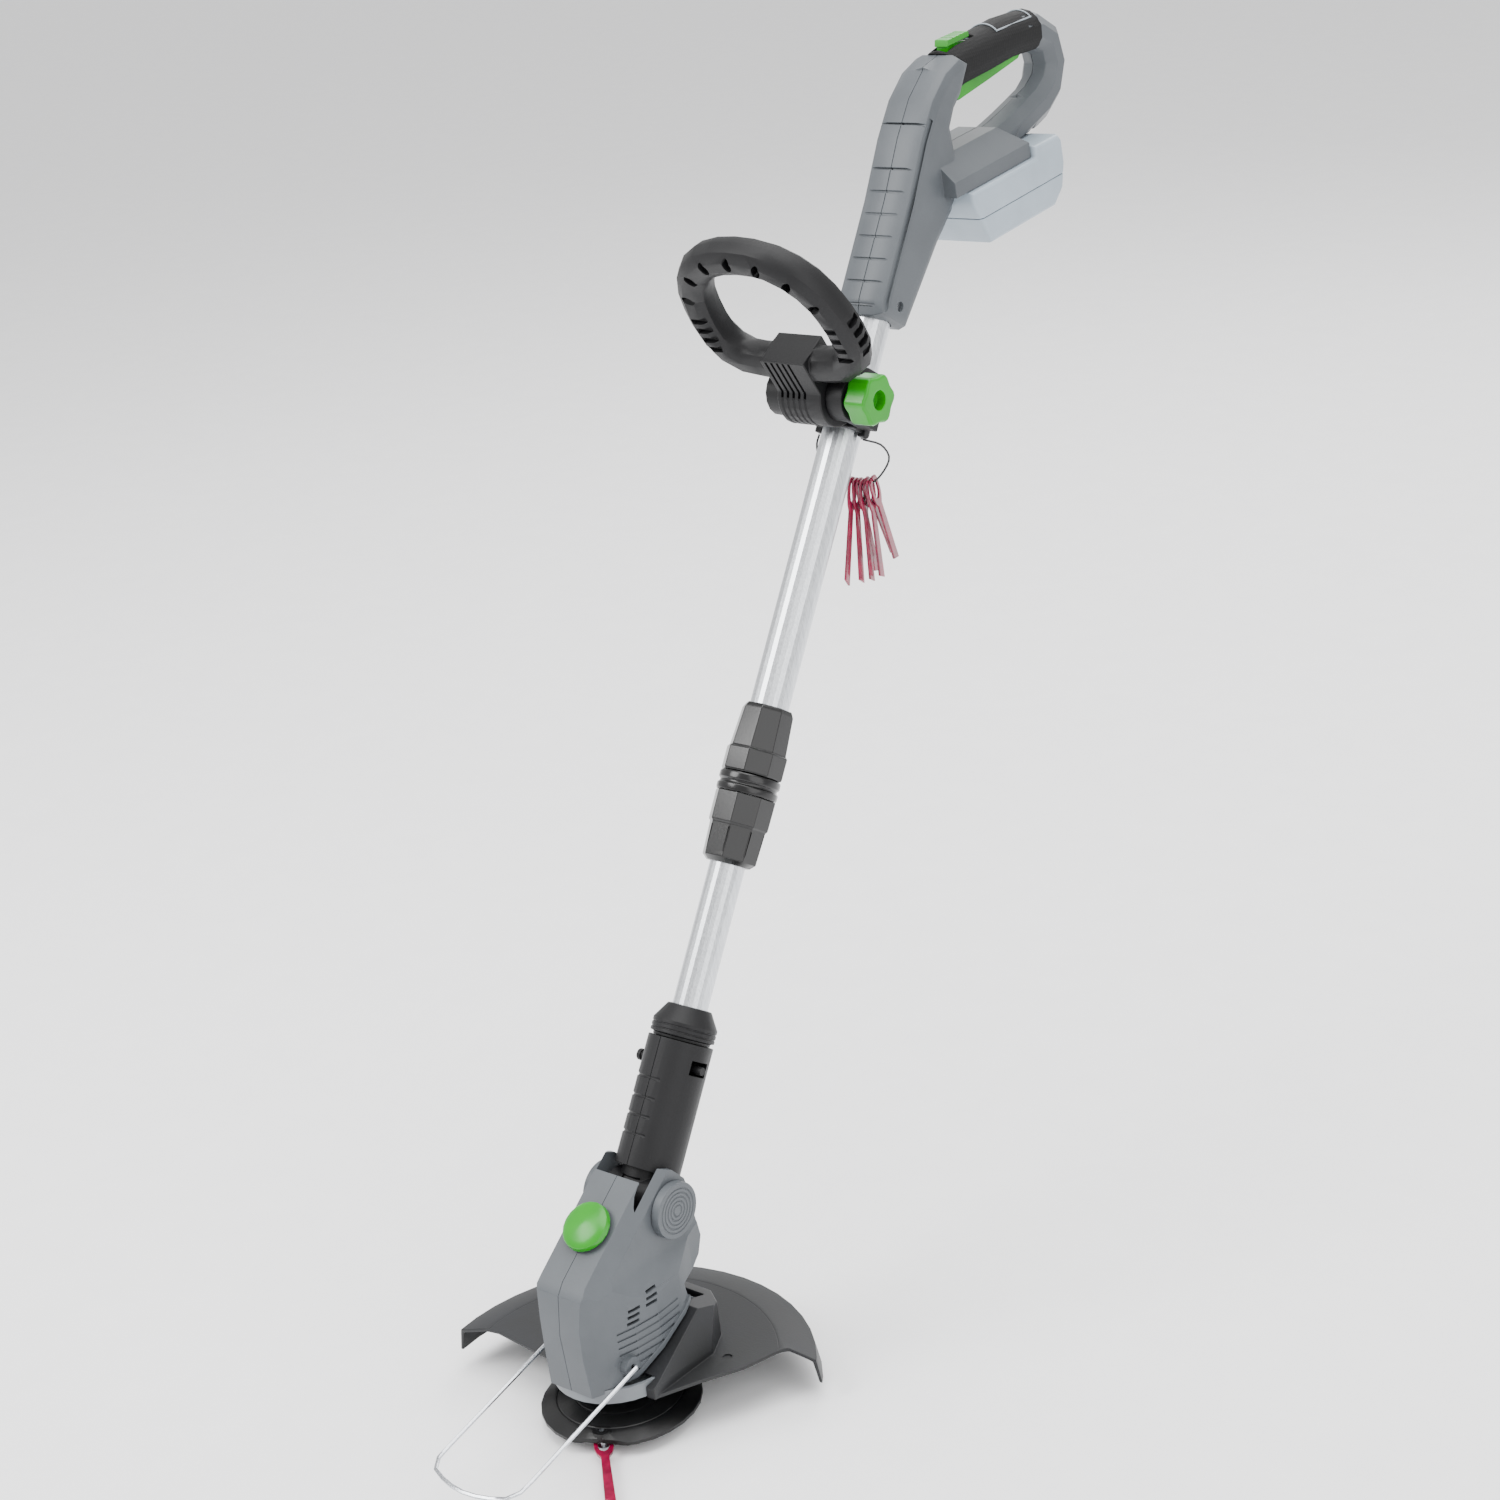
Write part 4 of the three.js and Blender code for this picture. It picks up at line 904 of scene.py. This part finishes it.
class TRIMMER_OT_rear_handle(bpy.types.Operator):
    """Models the rear housing with its segmented front, the soft grip, trigger and button"""
    bl_idname = "trimmer.rear_handle"
    bl_label = "Rear handle"

    def outline_grip(self):
        """The pale line moulded round the top of the soft grip."""
        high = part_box("grip_cover")[1]
        axis_z = high[2] / MM - GRIP_RADIUS
        arcs = []
        for y, drop in OUTLINE_ENDS:
            at = Matrix.Translation((0, y * MM, (axis_z - drop) * MM))
            arc = ring("grip_arc", at @ Matrix.Rotation(math.pi / 2, 4, "X"), (0, 0, 0),
                       GRIP_RADIUS, OUTLINE_SECTION)
            carve(arc, [slab("grip_top", at, OUTLINE_KEPT_AT, OUTLINE_KEPT)], "INTERSECT")
            arcs.append(arc)
        for side in (-1, 1):
            x, y, rise = OUTLINE_SIDE
            at = (Matrix.Translation((side * x * MM, y * MM, (axis_z + rise) * MM))
                  @ Matrix.Rotation(OUTLINE_DROP, 4, "X"))
            arcs.append(slab("grip_side_line", at, (0, 0, 0), OUTLINE_SIZE, OUTLINE_EDGE))
        outline = joined(arcs)
        outline.name = "grip_outline"
        outline.data.materials.clear()
        outline.data.materials.append(FINISHES["latch_grey"])
        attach(rounded(outline, 0), BODY_OF["grip_cover"])

    def execute(self, context):
        for side, name in ((-1, "left"), (1, "right")):
            lines = []
            for s in STRIP_GROOVES:
                front = STRIP_FRONT - STRIP_SLOPE * (s - STRIP_GROOVES[0])
                lines.append(slab("strip_line", SHAFT, (side * STRIP_OUT, front + STRIP_SINK, s),
                                  STRIP_SIZE))
            edge = slab("strip_edge", SHAFT @ Matrix.Rotation(STRIP_EDGE_TURN, 4, "X"),
                        (side * STRIP_EDGE_OUT, STRIP_EDGE_FRONT, STRIP_EDGE_HEIGHT),
                        STRIP_EDGE_SIZE)
            detailed(f"rear_housing_{name}", [*lines, edge], radius=SMALL,
                     angle=HOUSING_ROUND_ABOVE, grooves_first=True)
        detailed("grip_cover", radius=MEDIUM)
        self.outline_grip()
        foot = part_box("trigger")[0][2] / MM
        ribs = [slab("trigger_rib", LEVEL,
                     (0, y, foot + TRIGGER_SLOPE * (y - TRIGGER_START) - TRIGGER_SINK),
                     TRIGGER_RIB_SIZE) for y in TRIGGER_RIBS]
        detailed("trigger", [joined(ribs)], radius=SOFT)
        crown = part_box("lock_off_button")[1][2] / MM
        ribs = [slab("button_rib", LEVEL, (0, y, crown - BUTTON_SLOPE * (BUTTON_END - y)),
                     BUTTON_RIB_SIZE) for y in BUTTON_RIBS]
        detailed("lock_off_button", [joined(ribs)], radius=MEDIUM)
        return {"FINISHED"}


LATCH_RIBS = (86, 89, 92)
LATCH_RIB_HEIGHT = 7
LATCH_RIB_SIZE = (16, 1.2, 1.4)


class TRIMMER_OT_battery(bpy.types.Operator):
    """Models the two halves of the battery case and the ribbed release latch"""
    bl_idname = "trimmer.battery"
    bl_label = "Battery"

    def execute(self, context):
        detailed("battery_case_upper", radius=SOFT)
        detailed("battery_case_lower", radius=SOFT)
        ribs = [slab("latch_rib", BATTERY, (0, y, LATCH_RIB_HEIGHT), LATCH_RIB_SIZE)
                for y in LATCH_RIBS]
        detailed("battery_latch", [joined(ribs)], radius=SMALL)
        return {"FINISHED"}


class TRIMMER_OT_spare_blades(bpy.types.Operator):
    """Models the spare blades that hang on the cord"""
    bl_idname = "trimmer.spare_blades"
    bl_label = "Spare blades"

    def execute(self, context):
        for node in sorted(n for n in frame["nodes"] if n.startswith("spare_blade_")):
            if node != "spare_blade_cord":
                detailed(node, radius=FINE)
        return {"FINISHED"}


# Each spring with the joint that presses it, the way it is pressed, its length in
# millimetres, and the share of that length left when it is pressed.
SPRINGS = (
    ("tilt_spring", "tilt_release_press", Vector(JOINTS["tilt_release_press"]["axis"]), 12, 0.88),
    ("trigger_spring", "trigger_pull", Vector((0, 0, 1)), 5, 0.12),
)


class TRIMMER_OT_springs(bpy.types.Operator):
    """Models the coil springs from their CAD nodes"""
    bl_idname = "trimmer.springs"
    bl_label = "Springs"

    def execute(self, context):
        for node, joint, way, length, kept in SPRINGS:
            piece = detailed(node, radius=0)
            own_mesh(piece)
        return {"FINISHED"}


class TRIMMER_OT_carried_over(bpy.types.Operator):
    """Gives every CAD node the material of its slot"""
    bl_idname = "trimmer.carried_over"
    bl_label = "Carried-over nodes"

    def execute(self, context):
        for node, piece in frame["nodes"].items():
            piece.data.materials.clear()
            piece.data.materials.append(FINISHES[SLOT_OF[node]])
        return {"FINISHED"}


OPERATORS = (
    TRIMMER_OT_camera, TRIMMER_OT_spare_cord, TRIMMER_OT_stage, TRIMMER_OT_tubes,
    TRIMMER_OT_sleeve, TRIMMER_OT_motor_head, TRIMMER_OT_cutter, TRIMMER_OT_guards,
    TRIMMER_OT_front_handle, TRIMMER_OT_rear_handle, TRIMMER_OT_battery,
    TRIMMER_OT_spare_blades, TRIMMER_OT_springs, TRIMMER_OT_carried_over,
)


class TRIMMER_PT_panel(bpy.types.Panel):
    """Lists the trimmer's settings and pieces"""
    bl_idname = "TRIMMER_PT_panel"
    bl_label = "Trimmer"
    bl_space_type = "VIEW_3D"
    bl_region_type = "UI"
    bl_category = "Trimmer"

    def draw(self, context):
        for settings in (context.scene.trimmer_colours, context.scene.trimmer_sizes):
            for name in settings.__annotations__:
                self.layout.prop(settings, name)
        for operator in OPERATORS:
            self.layout.operator(operator.bl_idname)


CLASSES = (TrimmerColours, TrimmerSizes, *OPERATORS, TRIMMER_PT_panel)


def register():
    for item in CLASSES:
        bpy.utils.register_class(item)
    bpy.types.Scene.trimmer_colours = PointerProperty(type=TrimmerColours)
    bpy.types.Scene.trimmer_sizes = PointerProperty(type=TrimmerSizes)


def unregister():
    del bpy.types.Scene.trimmer_sizes
    del bpy.types.Scene.trimmer_colours
    for item in reversed(CLASSES):
        bpy.utils.unregister_class(item)


def main():
    register()
    make_finishes()
    for operator in OPERATORS:
        family, name = operator.bl_idname.split(".")
        getattr(getattr(bpy.ops, family), name)()


if __name__ == "__main__":
    main()
